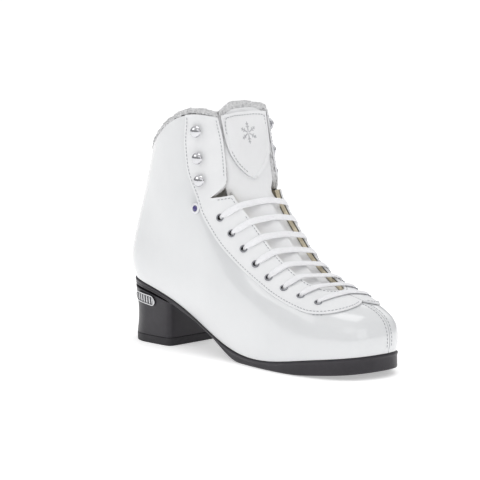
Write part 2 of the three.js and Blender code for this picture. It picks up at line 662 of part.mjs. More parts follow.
function tonguePanel(places, inner, outer) {
  const [nu, nv] = [places.length - 1, places[0].length - 1];
  const depth = (u, v) => tongueDepth(...places[Math.round(u * nu)][Math.round(v * nv)]);
  return panel(
    -1,
    places,
    (u, v) => -depth(u, v) - inner,
    (u, v) => -depth(u, v) - outer,
    { seamGap: 0 },
  );
}
const tongueLowerPlaces = () => tonguePlaces(TONGUE_ROOT_V, TONGUE_FOLD_V - TONGUE_GAP_V, 12, 10);
const tongueUpperPlaces = () => tonguePlaces(TONGUE_FOLD_V + TONGUE_GAP_V, TONGUE_TOP_V, 12, 8);
const PLUSH_OUT = TONGUE_LEATHER + GAP;
const PLUSH_TOP = TONGUE_TOP_V + 0.22;

const PATCH_TOP_V = 11.22;

function tonguePatchPlaces() {
  const left = [[0.765, 11.22], [0.767, 10.6], [0.782, 10.0], [0.825, 9.52], [0.9, 9.24], [1, 9.14]];
  const line = new THREE.CatmullRomCurve3(left.map(([s, v]) => new THREE.Vector3(s, v, 0)));
  const steps = 14;
  return Array.from({ length: steps + 1 }, (_, i) => {
    const f = 1 - Math.abs((2 * i) / steps - 1);
    const p = line.getPoint(lerp(0.05, 1, f));
    const s = i <= steps / 2 ? p.x : 2 - p.x;
    return Array.from({ length: 6 }, (__, j) => [s, lerp(p.y, PATCH_TOP_V, j / 5)]);
  });
}

// ---------------------------------------------------------------- turned metal pieces
function turned(profile, segments) {
  const points = profile.map(([r, h]) => new THREE.Vector2(r, h));
  const geometry = new THREE.LatheGeometry(points, segments);
  geometry.deleteAttribute("normal");
  geometry.deleteAttribute("uv");
  const merged = mergeVertices(geometry, 1e-3);
  return withoutSlivers(merged);
}

// Drops the triangles whose corners were merged, and turns the rest to face outwards.
function withoutSlivers(geometry) {
  const old = geometry.index.array;
  const index = [];
  for (let n = 0; n < old.length; n += 3) {
    const [a, b, c] = [old[n], old[n + 1], old[n + 2]];
    if (a !== b && b !== c && a !== c) index.push(a, b, c);
  }
  return closedGeometry(Array.from(geometry.attributes.position.array), index);
}

const CLINCH = 0.5; // thickness of an eyelet's rolled inner end
const eyeletTurned = () => {
  const { bore, barrel, flange, flangeThickness } = EYELET;
  const low = -BACKING_IN - GAP;
  const high = GAP + FACING + GAP;
  return turned([
    [bore, low - CLINCH], [flange - 0.3, low - CLINCH], [flange - 0.3, low], [barrel, low], [barrel, high],
    [flange, high], [flange - 0.4, high + flangeThickness], [bore, high + flangeThickness],
    [bore, low - CLINCH],
  ], 8);
};

const hookTurned = () => {
  const { stem, flange, dome, height, sheet: metal } = HOOK;
  const low = -BACKING_IN - GAP;
  const high = GAP + FACING + GAP;
  const neckTop = high + height - 2 * metal;
  return turned([
    [0, low - metal], [flange - 0.6, low - metal], [flange - 0.6, low], [stem, low], [stem, high],
    [flange, high], [flange, high + metal], [stem + 0.3, high + metal], [stem + 0.3, neckTop],
    [dome, neckTop], [dome * 0.9, neckTop + metal], [dome * 0.5, neckTop + 2 * metal],
    [0, neckTop + 2.3 * metal],
  ], 10);
};

const rivetTurned = () => {
  const { stem, washer, cap } = RIVET;
  return turned([
    [0, -LEATHER - GAP - 0.8], [stem + 1, -LEATHER - GAP - 0.8], [stem + 1, -LEATHER - GAP],
    [stem, -LEATHER - GAP], [stem, GAP], [washer, GAP], [washer - 0.6, GAP + 1], [cap, GAP + 1.1],
    [0, GAP + 0.9],
  ], 12);
};

// Stands a turned piece on the surface, its axis along the normal.
function standing(mesh, side, place) {
  const foot = lastPoint(side, ...place);
  foot.y += (side * SEAM_GAP) / 2;
  mesh.position.copy(foot);
  mesh.quaternion.setFromUnitVectors(new THREE.Vector3(0, 1, 0), lastNormal(side, ...place));
  return mesh;
}

// ---------------------------------------------------------------- lace
const LACE_UNDER = -5.8; // depth of the runs behind the facings
const LACE_OVER = 3.9; // height of the lace as it leaves an eyelet
const LACE_FULLNESS = 2.3; // how squarely a bar bows
const LACE_STEPS = [0, 0.13, 0.27, 0.5, 0.73, 0.87, 1];

// A curve whose evenly spaced points are exactly the given ones.
class RoutedLine extends THREE.Curve {
  constructor(points) {
    super();
    this.points = points;
  }
  getPointAt(u, target = new THREE.Vector3()) {
    return target.copy(this.points[Math.round(u * (this.points.length - 1))]);
  }
  getTangentAt(u, target = new THREE.Vector3()) {
    const last = this.points.length - 1;
    const i = Math.round(u * last);
    const before = this.points[Math.max(i - 1, 0)];
    const after = this.points[Math.min(i + 1, last)];
    const here = this.points[i];
    const arriving = here.clone().sub(before).normalize();
    const leaving = after.clone().sub(here).normalize();
    return target.copy(arriving.add(leaving)).normalize();
  }
}

function raised(side, [s, v], height) {
  const p = lastPoint(side, s, v);
  p.y += (side * SEAM_GAP) / 2;
  return p.addScaledVector(lastNormal(side, s, v), height);
}

// The place on the middle line nearest to an eyelet.
function middleAcross(side, place) {
  const from = lastPoint(side, ...place);
  let [best, least] = [place[1], Infinity];
  for (let v = place[1] - 1; v < place[1] + 3; v += 0.05) {
    const size = lastPoint(side, 1, v).distanceTo(from);
    if (size < least) [least, best] = [size, v];
  }
  return best;
}

// The place on the surface nearest to a point in front of the ankle or instep.
function nearestPlace(side, point) {
  const miss = (s, v) => lastPoint(side, s, v).distanceTo(point);
  let [best, least] = [[1, 6], Infinity];
  const tryAt = (s, v) => {
    const size = miss(s, v);
    if (size < least) [least, best] = [size, [s, v]];
  };
  for (let s = 0.6; s <= 1.001; s += 0.05) for (let v = 3.5; v < 9; v += 0.5) tryAt(s, v);
  for (let [ds, dv] = [0.025, 0.25]; ds > 1e-4; ds /= 2, dv /= 2)
    for (let round = 0; round < 3; round++) {
      const [s, v] = best;
      for (const [a, b] of [[1, 0], [-1, 0], [0, 1], [0, -1]]) tryAt(Math.min(s + a * ds, 1), v + b * dv);
    }
  return best;
}

// Least height of the lace's centre line: over the facing, or past its edge over the tongue.
function laceClearance(name, [s, v]) {
  const edge = LINES[name].lacing;
  const beyondThroat = v < edge.at(-1)[1];
  const k = edge.findIndex((place) => place[1] < v);
  const edgeS = beyondThroat ? 1 : k < 1 ? edge[0][0] : edge[k - 1][0];
  const overFacing = beyondThroat || s < edgeS + 0.11;
  return LACE_RADIUS + (overFacing ? FACING + 4 * GAP : GAP - tongueDepth(s, v));
}

// One bar from an eyelet across the tongue to its twin, from inside to inside: it leaves each eyelet
// along the normal, then bows over the tongue.
function laceBar(side, place, twin) {
  const middle = [1, (middleAcross(side, place) + middleAcross(-side, twin)) / 2];
  const fromThroatEnd = THROAT_X - lastPoint(-1, ...middle).x / BOOT_SCALE;
  const under = lerp(GAP + FACING, -tongueDepth(...middle), smooth(fromThroatEnd, 3, 16));
  const normal = lastNormal(-1, ...middle);
  const crown = lastPoint(-1, ...middle).addScaledVector(normal, LACE_RADIUS + 2 * GAP + under);
  const from = raised(side, place, LACE_OVER);
  const to = raised(-side, twin, LACE_OVER);
  const bow = crown.sub(from.clone().lerp(to, 0.5));
  const bar = LACE_STEPS.map((t) => {
    const point = from.clone().lerp(to, t);
    point.addScaledVector(bow, 1 - Math.abs(2 * t - 1) ** LACE_FULLNESS);
    const own = t < 0.5 ? side : -side;
    const nearest = nearestPlace(own, point);
    const up = lastNormal(own, ...nearest);
    const height = point.clone().sub(lastPoint(own, ...nearest)).dot(up);
    const least = laceClearance(own < 0 ? "right" : "left", nearest);
    return point.addScaledVector(up, Math.max(least - height, 0));
  });
  return [raised(side, place, LACE_UNDER), ...bar, raised(-side, twin, LACE_UNDER)];
}

function lacePoints() {
  const [right, left] = [eyeletPlaces("right"), eyeletPlaces("left")];
  const points = [];
  for (let n = 0; n < EYELET_COUNT; n++) {
    const side = n % 2 ? 1 : -1;
    const [own, twin] = n % 2 ? [left[n], right[n]] : [right[n], left[n]];
    points.push(...laceBar(side, own, twin));
  }
  return points;
}

function laceGeometry() {
  const points = lacePoints();
  const section = new THREE.Shape();
  section.absarc(0, 0, LACE_RADIUS, 0, 2 * Math.PI, false);
  const geometry = new THREE.ExtrudeGeometry(section, {
    steps: points.length - 1,
    curveSegments: 4,
    extrudePath: new RoutedLine(points),
    bevelEnabled: false,
  });
  geometry.deleteAttribute("normal");
  geometry.deleteAttribute("uv");
  return withoutSlivers(mergeVertices(geometry, 1e-3));
}

// ---------------------------------------------------------------- sole and heel
const soleBottomLine = curveThrough([
  [0, 44], [20, 42], [40, 39], [60, 33.8], [80, 26.2], [100, 18.6], [110, 13.2], [117, 9.2],
  [124, 5.4], [131, 2.1], [138, -0.3], [165, -0.6], [196, -0.3], [206, 0.3], [224, 1.9], [242, 3.4],
  [262, 5.6],
]);
const soleBottom = (x) => Math.max(soleBottomLine(x), 0);

// Height of the feather line, midway between the two sides, along the foot.
const seatHeight = curveThrough(
  Array.from({ length: 25 }, (_, i) => {
    const [a, b] = [lastPoint(-1, i / 24, 0), lastPoint(1, i / 24, 0)];
    return [(a.x + b.x) / 2 / BOOT_SCALE, (a.z + b.z) / 2 / BOOT_SCALE];
  }),
);

// A plate under the foot: its outline is the feather line moved outwards, from heel to toe. Its top is
// a rise above that line; its bottom is given by height along the foot, or by a rise too.
function plate(outset, topRise, bottom, fromS, toS, rows) {
  const across = 4;
  const rowsAt = Array.from({ length: rows + 1 }, (_, i) => {
    const s = lerp(fromS, toS, i / rows);
    return [-1, 1].map((side) => {
      const edge = lastPoint(side, s, 0);
      const out = lastNormal(side, s, 0.3).setZ(0).normalize();
      return edge.addScaledVector(out, outset);
    });
  });
  const topAt = (p) => p.z + topRise;
  const bottomAt = (p) =>
    typeof bottom === "function" ? bottom(p.x / BOOT_SCALE) * BOOT_SCALE : p.z + bottom;
  const positions = [];
  const index = [];
  const ids = [bottomAt, topAt].map((heightAt) =>
    rowsAt.map(([right, left]) =>
      Array.from({ length: across + 1 }, (_, j) => {
        const p = right.clone().lerp(left, j / across);
        positions.push(p.x, p.y, heightAt(p));
        return positions.length / 3 - 1;
      }),
    ),
  );
  const quad = (a, b, c, d) => index.push(a, b, c, a, c, d);
  const [low, high] = ids;
  for (let i = 0; i < rows; i++) {
    for (let j = 0; j < across; j++) {
      quad(low[i][j], low[i][j + 1], low[i + 1][j + 1], low[i + 1][j]);
      quad(high[i][j], high[i + 1][j], high[i + 1][j + 1], high[i][j + 1]);
    }
    quad(low[i][0], low[i + 1][0], high[i + 1][0], high[i][0]);
    quad(low[i][across], high[i][across], high[i + 1][across], low[i + 1][across]);
  }
  for (let j = 0; j < across; j++) {
    quad(low[0][j], high[0][j], high[0][j + 1], low[0][j + 1]);
    quad(low[rows][j], low[rows][j + 1], high[rows][j + 1], high[rows][j]);
  }
  return closedGeometry(positions, index);
}

// Solids for cutting.
function solidOf(geometry) {
  return new wasm.Manifold(
    new wasm.Mesh({
      numProp: 3,
      vertProperties: Float32Array.from(geometry.attributes.position.array),
      triVerts: Uint32Array.from(geometry.index.array),
    }),
  );
}
function geometryOf(solid) {
  const mesh = solid.getMesh();
  return closedGeometry(Array.from(mesh.vertProperties), Array.from(mesh.triVerts));
}
const cut = (geometry, ...tools) =>
  geometryOf(tools.reduce((solid, tool) => solid.subtract(solidOf(tool)), solidOf(geometry)));

// An upright pin from z low to high at (x, y).
function pin(radius, low, high, x, y, segments = 16) {
  const geometry = turned([[0, low], [radius, low], [radius, high], [0, high]], segments);
  geometry.rotateX(Math.PI / 2);
  geometry.translate(x, y, 0);
  return geometry;
}

const BOARD_LOW = 0.6;
const BOARD_IN = LINING_OUT + LINING + 2.2;

// The steel shank lies in a groove in the sole's upper face.
function shankGeometry(grow) {
  const steps = 16;
  const positions = [];
  const index = [];
  const { from, to, width, thickness } = SHANK;
  const half = width / 2 + grow;
  for (let i = 0; i <= steps; i++) {
    const x = lerp(from - grow, to + grow, i / steps);
    const top = seatHeight(x) - 0.9 + (grow ? 3 : 0);
    const bottom = seatHeight(x) - 0.9 - thickness - grow;
    for (const [dy, z] of [[-half, bottom], [half, bottom], [half, top], [-half, top]])
      positions.push(x, centreLine(x) + dy, z);
  }
  const quad = (a, b, c, d) => index.push(a, b, c, a, c, d);
  for (let i = 0; i < steps; i++)
    for (let k = 0; k < 4; k++) {
      const m = (k + 1) % 4;
      quad(4 * i + k, 4 * i + m, 4 * (i + 1) + m, 4 * (i + 1) + k);
    }
  quad(0, 3, 2, 1);
  quad(4 * steps, 4 * steps + 1, 4 * steps + 2, 4 * steps + 3);
  return closedGeometry(positions, index).scale(SIZE.x, SIZE.y, SIZE.z);
}

// The heel's outline at a height is a D: a half circle behind, straight sides and a flat breast.
const HEEL_TOP_Z = 40;
const heelBack = curveThrough([[0, 3.6], [6, 3.6], [16, 5.6], [26, 5.8], [40, 4]]);
function heelShape(z) {
  const f = THREE.MathUtils.clamp(z / HEEL_TOP_Z, 0, 1) ** 2;
  return { back: heelBack(z), breast: HEEL_BREAST_X + 3.2 * f, half: lerp(25.8, 28.4, f) };
}

function heelOutline(z, count) {
  const { back, breast, half } = heelShape(z);
  const corner = 5;
  const arc = (cx, cy, r, from, to, steps) =>
    Array.from({ length: steps + 1 }, (_, i) => {
      const a = lerp(from, to, i / steps);
      return [cx + r * Math.cos(a), cy + r * Math.sin(a)];
    });
  const rear = arc(back + half, 0, half, Math.PI / 2, 1.5 * Math.PI, count);
  const low = arc(breast - corner, -half + corner, corner, 1.5 * Math.PI, 2 * Math.PI, 3);
  const high = arc(breast - corner, half - corner, corner, 0, Math.PI / 2, 3);
  return [...rear, ...low, ...high];
}

function heelSolid(lowAt, highAt, levels, count = 18) {
  const rings = Array.from({ length: levels + 1 }, (_, k) => {
    const nominal = lerp(lowAt(30), highAt(30), k / levels);
    return heelOutline(nominal, count).map(([x, y]) => {
      const z = lerp(lowAt(x), highAt(x), k / levels);
      return [x, y + centreLine(x), z];
    });
  });
  const size = rings[0].length;
  const positions = rings.flat(2);
  const index = [];
  for (let k = 0; k < levels; k++)
    for (let n = 0; n < size; n++) {
      const m = (n + 1) % size;
      index.push(k * size + n, k * size + m, (k + 1) * size + m);
      index.push(k * size + n, (k + 1) * size + m, (k + 1) * size + n);
    }
  // The ends are filled in strips from side to side.
  for (const k of [0, levels])
    for (let a = 0, b = size - 1; b - a > 1; ) {
      const tri = [k * size + a, k * size + b, k * size + (a + 1)];
      const next = [k * size + (a + 1), k * size + b, k * size + (b - 1)];
      index.push(...(k ? tri.reverse() : tri));
      if (b - 1 > a + 1) index.push(...(k ? next.reverse() : next));
      a++;
      b--;
    }
  return closedGeometry(positions, index).scale(SIZE.x, SIZE.y, SIZE.z);
}

// The badge: a stadium that follows the outer side of the heel.
const BADGE_CENTRE = [32, 34.4];
const BADGE_SLOPE = -0.13;
function badgeGeometry() {
  const [along, across] = [14, 4];
  const radius = BADGE.height / 2;
  const straight = BADGE.length / 2 - radius;
  return sheet(along, across, (i, j) => {
    const u = ((2 * i) / along - 1) * BADGE.length * 0.5;
    const past = Math.max(Math.abs(u) - straight, 0) / radius;
    const rise = radius * Math.sqrt(Math.max(1 - past * past, 0.06)) * ((2 * j) / across - 1);
    const x = BADGE_CENTRE[0] + u;
    const z = BADGE_CENTRE[1] + BADGE_SLOPE * u + rise;
    const { back, half } = heelShape(z);
    const behind = Math.max(back + half - x, 0);
    const y = Math.sqrt(half * half - behind * behind);
    const point = new THREE.Vector3(x, centreLine(x) - y, z).multiply(SIZE);
    const normal = new THREE.Vector3(-behind, -y, 0).normalize();
    return { point, normal, inner: 2 * GAP, outer: 2 * GAP + BADGE.thickness };
  });
}

// ---------------------------------------------------------------- colours and assembly
const LOOKS = {
  patent: { color: 0xeef0f3, roughness: 0.18, metalness: 0 },
  leather: { color: 0xf0f1f2, roughness: 0.45, metalness: 0 },
  backing: { color: 0xc9bba0, roughness: 0.8, metalness: 0 },
  lining: { color: 0xd6d2ca, roughness: 0.85, metalness: 0 },
  plush: { color: 0xc8c8c9, roughness: 1, metalness: 0 },
  board: { color: 0x9c8263, roughness: 0.9, metalness: 0 },
  stiffener: { color: 0xb9ad98, roughness: 0.9, metalness: 0 },
  chrome: { color: 0xd8dade, roughness: 0.12, metalness: 1 },
  steel: { color: 0x9a9da1, roughness: 0.4, metalness: 1 },
  enamel: { color: 0x5b5690, roughness: 0.3, metalness: 0 },
  sole: { color: 0x3b3a3f, roughness: 0.5, metalness: 0 },
  lace: { color: 0xf6f6f7, roughness: 0.9, metalness: 0 },
};

const boot = new THREE.Group();
boot.name = "skating_boot";
boot.position.set(-HEEL_CENTRE_X, -centreLine(HEEL_CENTRE_X), 0).multiply(SIZE);

function add(name, look, geometry) {
  geometry.computeVertexNormals();
  const mesh = new THREE.Mesh(geometry, new THREE.MeshStandardMaterial(LOOKS[look]));
  mesh.name = name;
  boot.add(mesh);
  return mesh;
}

for (const [name, side] of Object.entries(SIDES)) {
  add(`quarter_${name}`, "patent", quarter(name));
  add(`cuff_${name}`, "patent", cuff(name));
  add(`facing_lower_${name}`, "leather", facingLower(name));
  add(`facing_cuff_${name}`, "leather", facingCuff(name));
  add(`backing_lower_${name}`, "backing", backingLower(name));
  add(`backing_cuff_${name}`, "backing", backingCuff(name));
  add(`lining_lower_${name}`, "lining", liningLower(name));
  add(`lining_cuff_${name}`, "plush", liningCuff(name));
  add(`collar_${name}`, "plush", collar(name));
  eyeletPlaces(name).forEach((place, n) =>
    standing(add(`eyelet_${name}_${n + 1}`, "steel", eyeletTurned()), side, place),
  );
  HOOK_PLACES.forEach((place, n) =>
    standing(add(`hook_${name}_${n + 1}`, "chrome", hookTurned()), side, locate(side, place)),
  );
  standing(add(`flex_rivet_${name}`, "enamel", rivetTurned()), side, locate(side, RIVET_PLACE));
}

add("tongue_lower", "leather", tonguePanel(tongueLowerPlaces(), TONGUE_LEATHER, 0));
add("tongue_upper", "leather", tonguePanel(tongueUpperPlaces(), TONGUE_LEATHER, 0));
add("tongue_lining_lower", "plush", tonguePanel(
  tongueLowerPlaces(), PLUSH_OUT + TONGUE_PLUSH, PLUSH_OUT,
));
add("tongue_lining_upper", "plush", tonguePanel(
  tonguePlaces(TONGUE_FOLD_V + TONGUE_GAP_V, PLUSH_TOP, 12, 8), PLUSH_OUT + TONGUE_PLUSH, PLUSH_OUT,
));
add("tongue_patch", "leather", tonguePanel(tonguePatchPlaces(), -GAP, -GAP - 1.6));
add("lace", "lace", laceGeometry());

add("toe_puff", "stiffener", stiffener(0.74, 1.26, 0.25, 3.4, 14, 5));
add("heel_counter", "stiffener", stiffener(-0.3, 0.3, 0.25, 3.9, 14, 5));

const screwX = HEEL_CENTRE_X * SIZE.x;
const screwY = centreLine(HEEL_CENTRE_X) * SIZE.y;
const boardTop = seatHeight(HEEL_CENTRE_X) * SIZE.z + BOARD_LOW + INSOLE_BOARD;
const headLow = boardTop + HEEL_SCREW.washer;
const headHigh = headLow + HEEL_SCREW.headHeight;
const screwLow = soleBottom(HEEL_CENTRE_X) * SIZE.z - HEEL_SCREW.reach;
const hole = pin(HEEL_SCREW.stem + HOLE_CLEARANCE, screwLow - 1, headHigh, screwX, screwY);
const recess = pin(HEEL_SCREW.head + 0.5, boardTop - 3, headHigh + 0.5, screwX, screwY);
const blockTop = (x) => soleBottom(x) - GAP;
const FOOTBED_LOW = BOARD_LOW + INSOLE_BOARD + 0.5;

const board = plate(-BOARD_IN, BOARD_LOW + INSOLE_BOARD, BOARD_LOW, 0.02, 0.985, 24);
add("insole_board", "board", cut(board, hole));
const sole = plate(SOLE_MARGIN, -GAP, soleBottom, 0.012, 0.99, 44);
add("outsole", "sole", cut(sole, shankGeometry(GAP), hole));
add("shank", "steel", cut(shankGeometry(0), hole));
const heel = heelSolid(() => HEEL_LIFT + GAP, blockTop, 5);
add("heel_block", "sole", cut(heel, hole));
add("heel_lift", "sole", heelSolid(() => 0, () => HEEL_LIFT, 1));
const footbed = plate(-BOARD_IN - 0.6, FOOTBED_LOW + FOOTBED, FOOTBED_LOW, 0.03, 0.975, 24);
add("footbed", "lining", cut(footbed, recess));
const screw = turned([
  [0, screwLow], [HEEL_SCREW.stem, screwLow + 2], [HEEL_SCREW.stem, headLow], [HEEL_SCREW.head, headLow],
  [HEEL_SCREW.head, headHigh], [0, headHigh],
], 12);
screw.rotateX(Math.PI / 2);
screw.translate(screwX, screwY, 0);
add("heel_screw", "steel", screw);
add("heel_badge", "chrome", badgeGeometry());

export default boot;
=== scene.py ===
# %% [markdown]
# # A figure skating boot
#
# This lesson dresses a measured model of a laced skating boot. The measured model gives every place
# and size. The pieces made here give the leather, thread, plush and metal that a maker would use.

# %% Load the measured model
import math

import bmesh
import bpy
from mathutils import Matrix, Quaternion, Vector, noise
from mathutils.bvhtree import BVHTree
from mathutils.geometry import intersect_point_line
from mathutils.kdtree import KDTree


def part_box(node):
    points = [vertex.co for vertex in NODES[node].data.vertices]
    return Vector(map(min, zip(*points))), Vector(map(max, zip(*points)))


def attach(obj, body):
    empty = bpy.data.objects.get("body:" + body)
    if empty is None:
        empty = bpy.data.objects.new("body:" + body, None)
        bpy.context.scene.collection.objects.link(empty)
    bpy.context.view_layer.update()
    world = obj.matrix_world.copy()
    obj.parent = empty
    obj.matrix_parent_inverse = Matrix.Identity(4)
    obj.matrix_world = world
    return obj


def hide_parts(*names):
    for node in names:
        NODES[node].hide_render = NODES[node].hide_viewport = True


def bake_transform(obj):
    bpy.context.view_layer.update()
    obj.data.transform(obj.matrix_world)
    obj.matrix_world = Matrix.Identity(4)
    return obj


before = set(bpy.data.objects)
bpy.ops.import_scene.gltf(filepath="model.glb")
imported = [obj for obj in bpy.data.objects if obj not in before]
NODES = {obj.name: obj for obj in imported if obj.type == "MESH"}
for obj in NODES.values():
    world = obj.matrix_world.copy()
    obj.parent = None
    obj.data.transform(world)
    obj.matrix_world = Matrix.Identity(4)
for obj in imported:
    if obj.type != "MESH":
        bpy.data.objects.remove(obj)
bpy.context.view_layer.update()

MM = 0.001
SIDES = ("right", "left")

# %% [markdown]
# ## Working with the measured pieces
#
# A measured piece arrives as loose triangles. Its copy is merged, and its triangles are joined in
# pairs, so that subdivision has a clean net to smooth. Cut edges get a narrow bevel first, because a
# real leather edge is cut square and then rubbed slightly round.

# %% Copies, quads and smoothing
def copy_of(name):
    bm = bmesh.new()
    bm.from_mesh(NODES[name].data)
    bmesh.ops.remove_doubles(bm, verts=bm.verts, dist=0.02 * MM)
    bmesh.ops.join_triangles(
        bm, faces=bm.faces, angle_face_threshold=math.radians(40),
        angle_shape_threshold=math.pi, topology_influence=2.0,
    )
    bm.normal_update()
    return bm


def sharp_edges(bm, degrees=45):
    limit = math.radians(degrees)
    return [e for e in bm.edges if len(e.link_faces) == 2 and e.calc_face_angle() > limit]


def rub_edges(bm, width, segments=2, degrees=45):
    bmesh.ops.bevel(
        bm, geom=sharp_edges(bm, degrees), offset=width, offset_type="OFFSET", segments=segments,
        profile=0.5, affect="EDGES", clamp_overlap=True, material=-1,
    )


def smoothed(bm, levels):
    """The same shape after Catmull-Clark subdivision, as a new bmesh."""
    mesh = bpy.data.meshes.new("work")
    bm.to_mesh(mesh)
    bm.free()
    work = bpy.data.objects.new("work", mesh)
    bpy.context.scene.collection.objects.link(work)
    finer = work.modifiers.new("finer", "SUBSURF")
    finer.levels = finer.render_levels = levels
    bpy.context.view_layer.update()
    fine = bpy.data.meshes.new_from_object(work.evaluated_get(bpy.context.evaluated_depsgraph_get()))
    bpy.data.objects.remove(work)
    bpy.data.meshes.remove(mesh)
    made = bmesh.new()
    made.from_mesh(fine)
    bpy.data.meshes.remove(fine)
    made.normal_update()
    return made


def poured(bm, into):
    """Adds all of one bmesh to another, and frees it."""
    mesh = bpy.data.meshes.new("work")
    bm.to_mesh(mesh)
    bm.free()
    into.from_mesh(mesh)
    bpy.data.meshes.remove(mesh)


def finished(name, bm, material, stands_for=(), body=None):
    """Makes the object of a piece, at the origin, with smooth faces."""
    for face in bm.faces:
        face.smooth = True
    mesh = bpy.data.meshes.new(name)
    bm.to_mesh(mesh)
    bm.free()
    mesh.materials.append(material)
    piece = bpy.data.objects.new(name, mesh)
    bpy.context.scene.collection.objects.link(piece)
    if stands_for:
        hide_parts(*stands_for)
    if body:
        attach(piece, body)
    return piece


def skin_of(bm):
    return BVHTree.FromBMesh(bm)


print("helpers ready")

# %% [markdown]
# ## Which way is out
#
# A sheet of leather has an outer and an inner face. A line through the middle of the foot and up the
# leg tells them apart: a face that looks away from that line is an outer one.

# %% The line through the foot and leg
CORE = [Vector(p) * MM for p in
        ((192, -3, 26), (130, -1, 36), (70, 0, 52), (26, 0, 76), (36, 0, 120), (58, 0, 200))]


def away(point):
    """The direction from the middle of the boot to a point."""
    best = None
    for a, b in zip(CORE, CORE[1:]):
        foot, share = intersect_point_line(point, a, b)
        near = a if share < 0 else b if share > 1 else foot
        if best is None or (point - near).length < (point - best).length:
            best = near
    return (point - best).normalized()


print("straight out of the toe", [round(x, 2) for x in away(Vector((0.22, 0, 0.03)))])

# %% [markdown]
# ## Rims and rows
#
# Seams, stitches and raw edges all follow the rim of a sheet. The rim is found from its sharp edges,
# and a row of stitches is that rim moved inwards across the face by one distance.

# %% Find a rim and move it inwards
def chained(links):
    """Lines of points from {vertex: [neighbours]}, as (points, closed), longest first."""
    lines, used = [], set()
    for start in sorted(links, key=lambda v: (len(links[v]) != 1, v.index)):
        if start in used:
            continue
        verts, here = [], start
        while here is not None:
            used.add(here)
            verts.append(here)
            onward = [v for v in links[here] if v not in used]
            here = onward[0] if onward else None
        closed = len(verts) > 2 and verts[0] in links[verts[-1]]
        lines.append(([v.co.copy() for v in verts], closed))
    return sorted(lines, key=lambda line: len(line[0]), reverse=True)


def chained_edges(bm, wanted):
    """Lines along the sharp edges that wanted(edge) picks."""
    links = {}
    bm.verts.index_update()
    for e in sharp_edges(bm, 50):
        if wanted(e):
            a, b = e.verts
            links.setdefault(a, []).append(b)
            links.setdefault(b, []).append(a)
    return chained(links)


def outer_rims(bm):
    """Lines where the outer face of a sheet meets its cut edge, longest first."""
    def wanted(e):
        outward = away((e.verts[0].co + e.verts[1].co) / 2)
        looks = sorted(f.normal.dot(outward) for f in e.link_faces)
        return looks[1] > 0.55 and looks[0] < looks[1] - 0.35

    return chained_edges(bm, wanted)


def spaced(line, step, closed=False):
    """Points one step apart along a line."""
    points = line + [line[0]] if closed else line
    length = sum((b - a).length for a, b in zip(points, points[1:]))
    count = max(round(length / step), 1)
    wanted, made, walked, k = length / count, [points[0].copy()], 0.0, 1
    for a, b in zip(points, points[1:]):
        span = (b - a).length
        while span > 0 and walked + span >= wanted * k - 1e-9 and k <= count:
            made.append(a.lerp(b, (wanted * k - walked) / span))
            k += 1
        walked += span
    return made


def facing_out(skin, point):
    """The mean direction of the outer faces near a point."""
    outward = away(point)
    near = [n for _, n, _, _ in skin.find_nearest_range(point, 2.6 * MM) if n.dot(outward) > 0.5]
    return sum(near, Vector()).normalized() if near else outward


CLEAR = 0.88  # share of the inset that a row keeps from every rim
ON_FACE = 0.45  # share of the inset that a row's point may lie off the face
BREAK = 6 * MM  # a longer gap starts a new row


def inset_rows(rims, skin, inset, keep):
    """Rows of points inside some rims. keep says which rim points count."""
    rows = []
    lines = [(spaced(line, MM, closed), closed) for line, closed in rims if len(line) > 12]
    everywhere = [p for line, _ in lines for p in line]
    for line, closed in lines:
        row = []
        count = len(line)
        for k, p in enumerate(line):
            after = line[(k + 2) % count] if closed else line[min(k + 2, count - 1)]
            before = line[k - 2] if closed else line[max(k - 2, 0)]
            inwards = facing_out(skin, p).cross((after - before).normalized())
            finds = []
            for way in (inwards, -inwards):
                spot, _, _, gap = skin.find_nearest(p + way * inset)
                finds.append((gap, spot, way))
            gap, spot, way = min(finds, key=lambda find: find[0])
            clear = all((spot - q).length > CLEAR * inset for q in everywhere)
            if clear and gap < ON_FACE * inset and keep(p, way):
                if row and (row[-1] - spot).length > BREAK:
                    rows.append(row)
                    row = []
                row.append(spot.copy())
        rows.append(row)
        if closed and len(rows) > 1 and rows[-1] and (rows[-1][-1] - line[0]).length < BREAK:
            first = next(r for r in rows if r)
            if first is not rows[-1] and (first[0] - rows[-1][-1]).length < BREAK:
                first[:0] = rows.pop()
    return [r for r in rows if len(r) > 4]


def eased(line, rounds):
    """An open line with its corners smoothed and its ends kept."""
    for _ in range(rounds):
        inner = [(p + 2 * q + r) / 4 for p, q, r in zip(line, line[1:], line[2:])]
        line = [line[0]] + inner + [line[-1]]
    return line


# %% [markdown]
# ## Stitches
#
# Each stitch is a short length of thread that goes down at both ends. A small stretched ball has that
# shape and only a few faces, which matters because there are hundreds.

# %% A row of stitches
STITCH = {"pitch": 2.7 * MM, "length": 2.0 * MM, "radius": 0.3 * MM, "lift": 0.08 * MM}
BALL = {"u_segments": 6, "v_segments": 5}
BALL_VERTS = 6 * 4 + 2


def sew(bm, row, skin):
    """Adds stitches along one row to a bmesh."""
    places = spaced(eased(row, 2), STITCH["pitch"])
    for a, b in zip(places, places[1:]):
        middle = (a + b) / 2
        spot, up, _, _ = skin.find_nearest(middle)
        if up.dot(away(spot)) < 0:
            up = -up
        along = (b - a).normalized()
        side = up.cross(along).normalized()
        turn = Matrix((side, along.cross(side), along)).transposed().to_4x4()
        size = Matrix.Diagonal((STITCH["radius"], STITCH["radius"], STITCH["length"] / 2, 1))
        place = Matrix.Translation(spot + up * STITCH["lift"])
        bmesh.ops.create_uvsphere(bm, **BALL, radius=1, matrix=place @ turn @ size)


def sewn(name, rows, skin, material):
    bm = bmesh.new()
    for row in rows:
        sew(bm, row, skin)
    print(name, "rows", len(rows), "stitches", len(bm.verts) // BALL_VERTS)
    return finished(name, bm, material)


print("stitch length in mm", STITCH["length"] / MM)

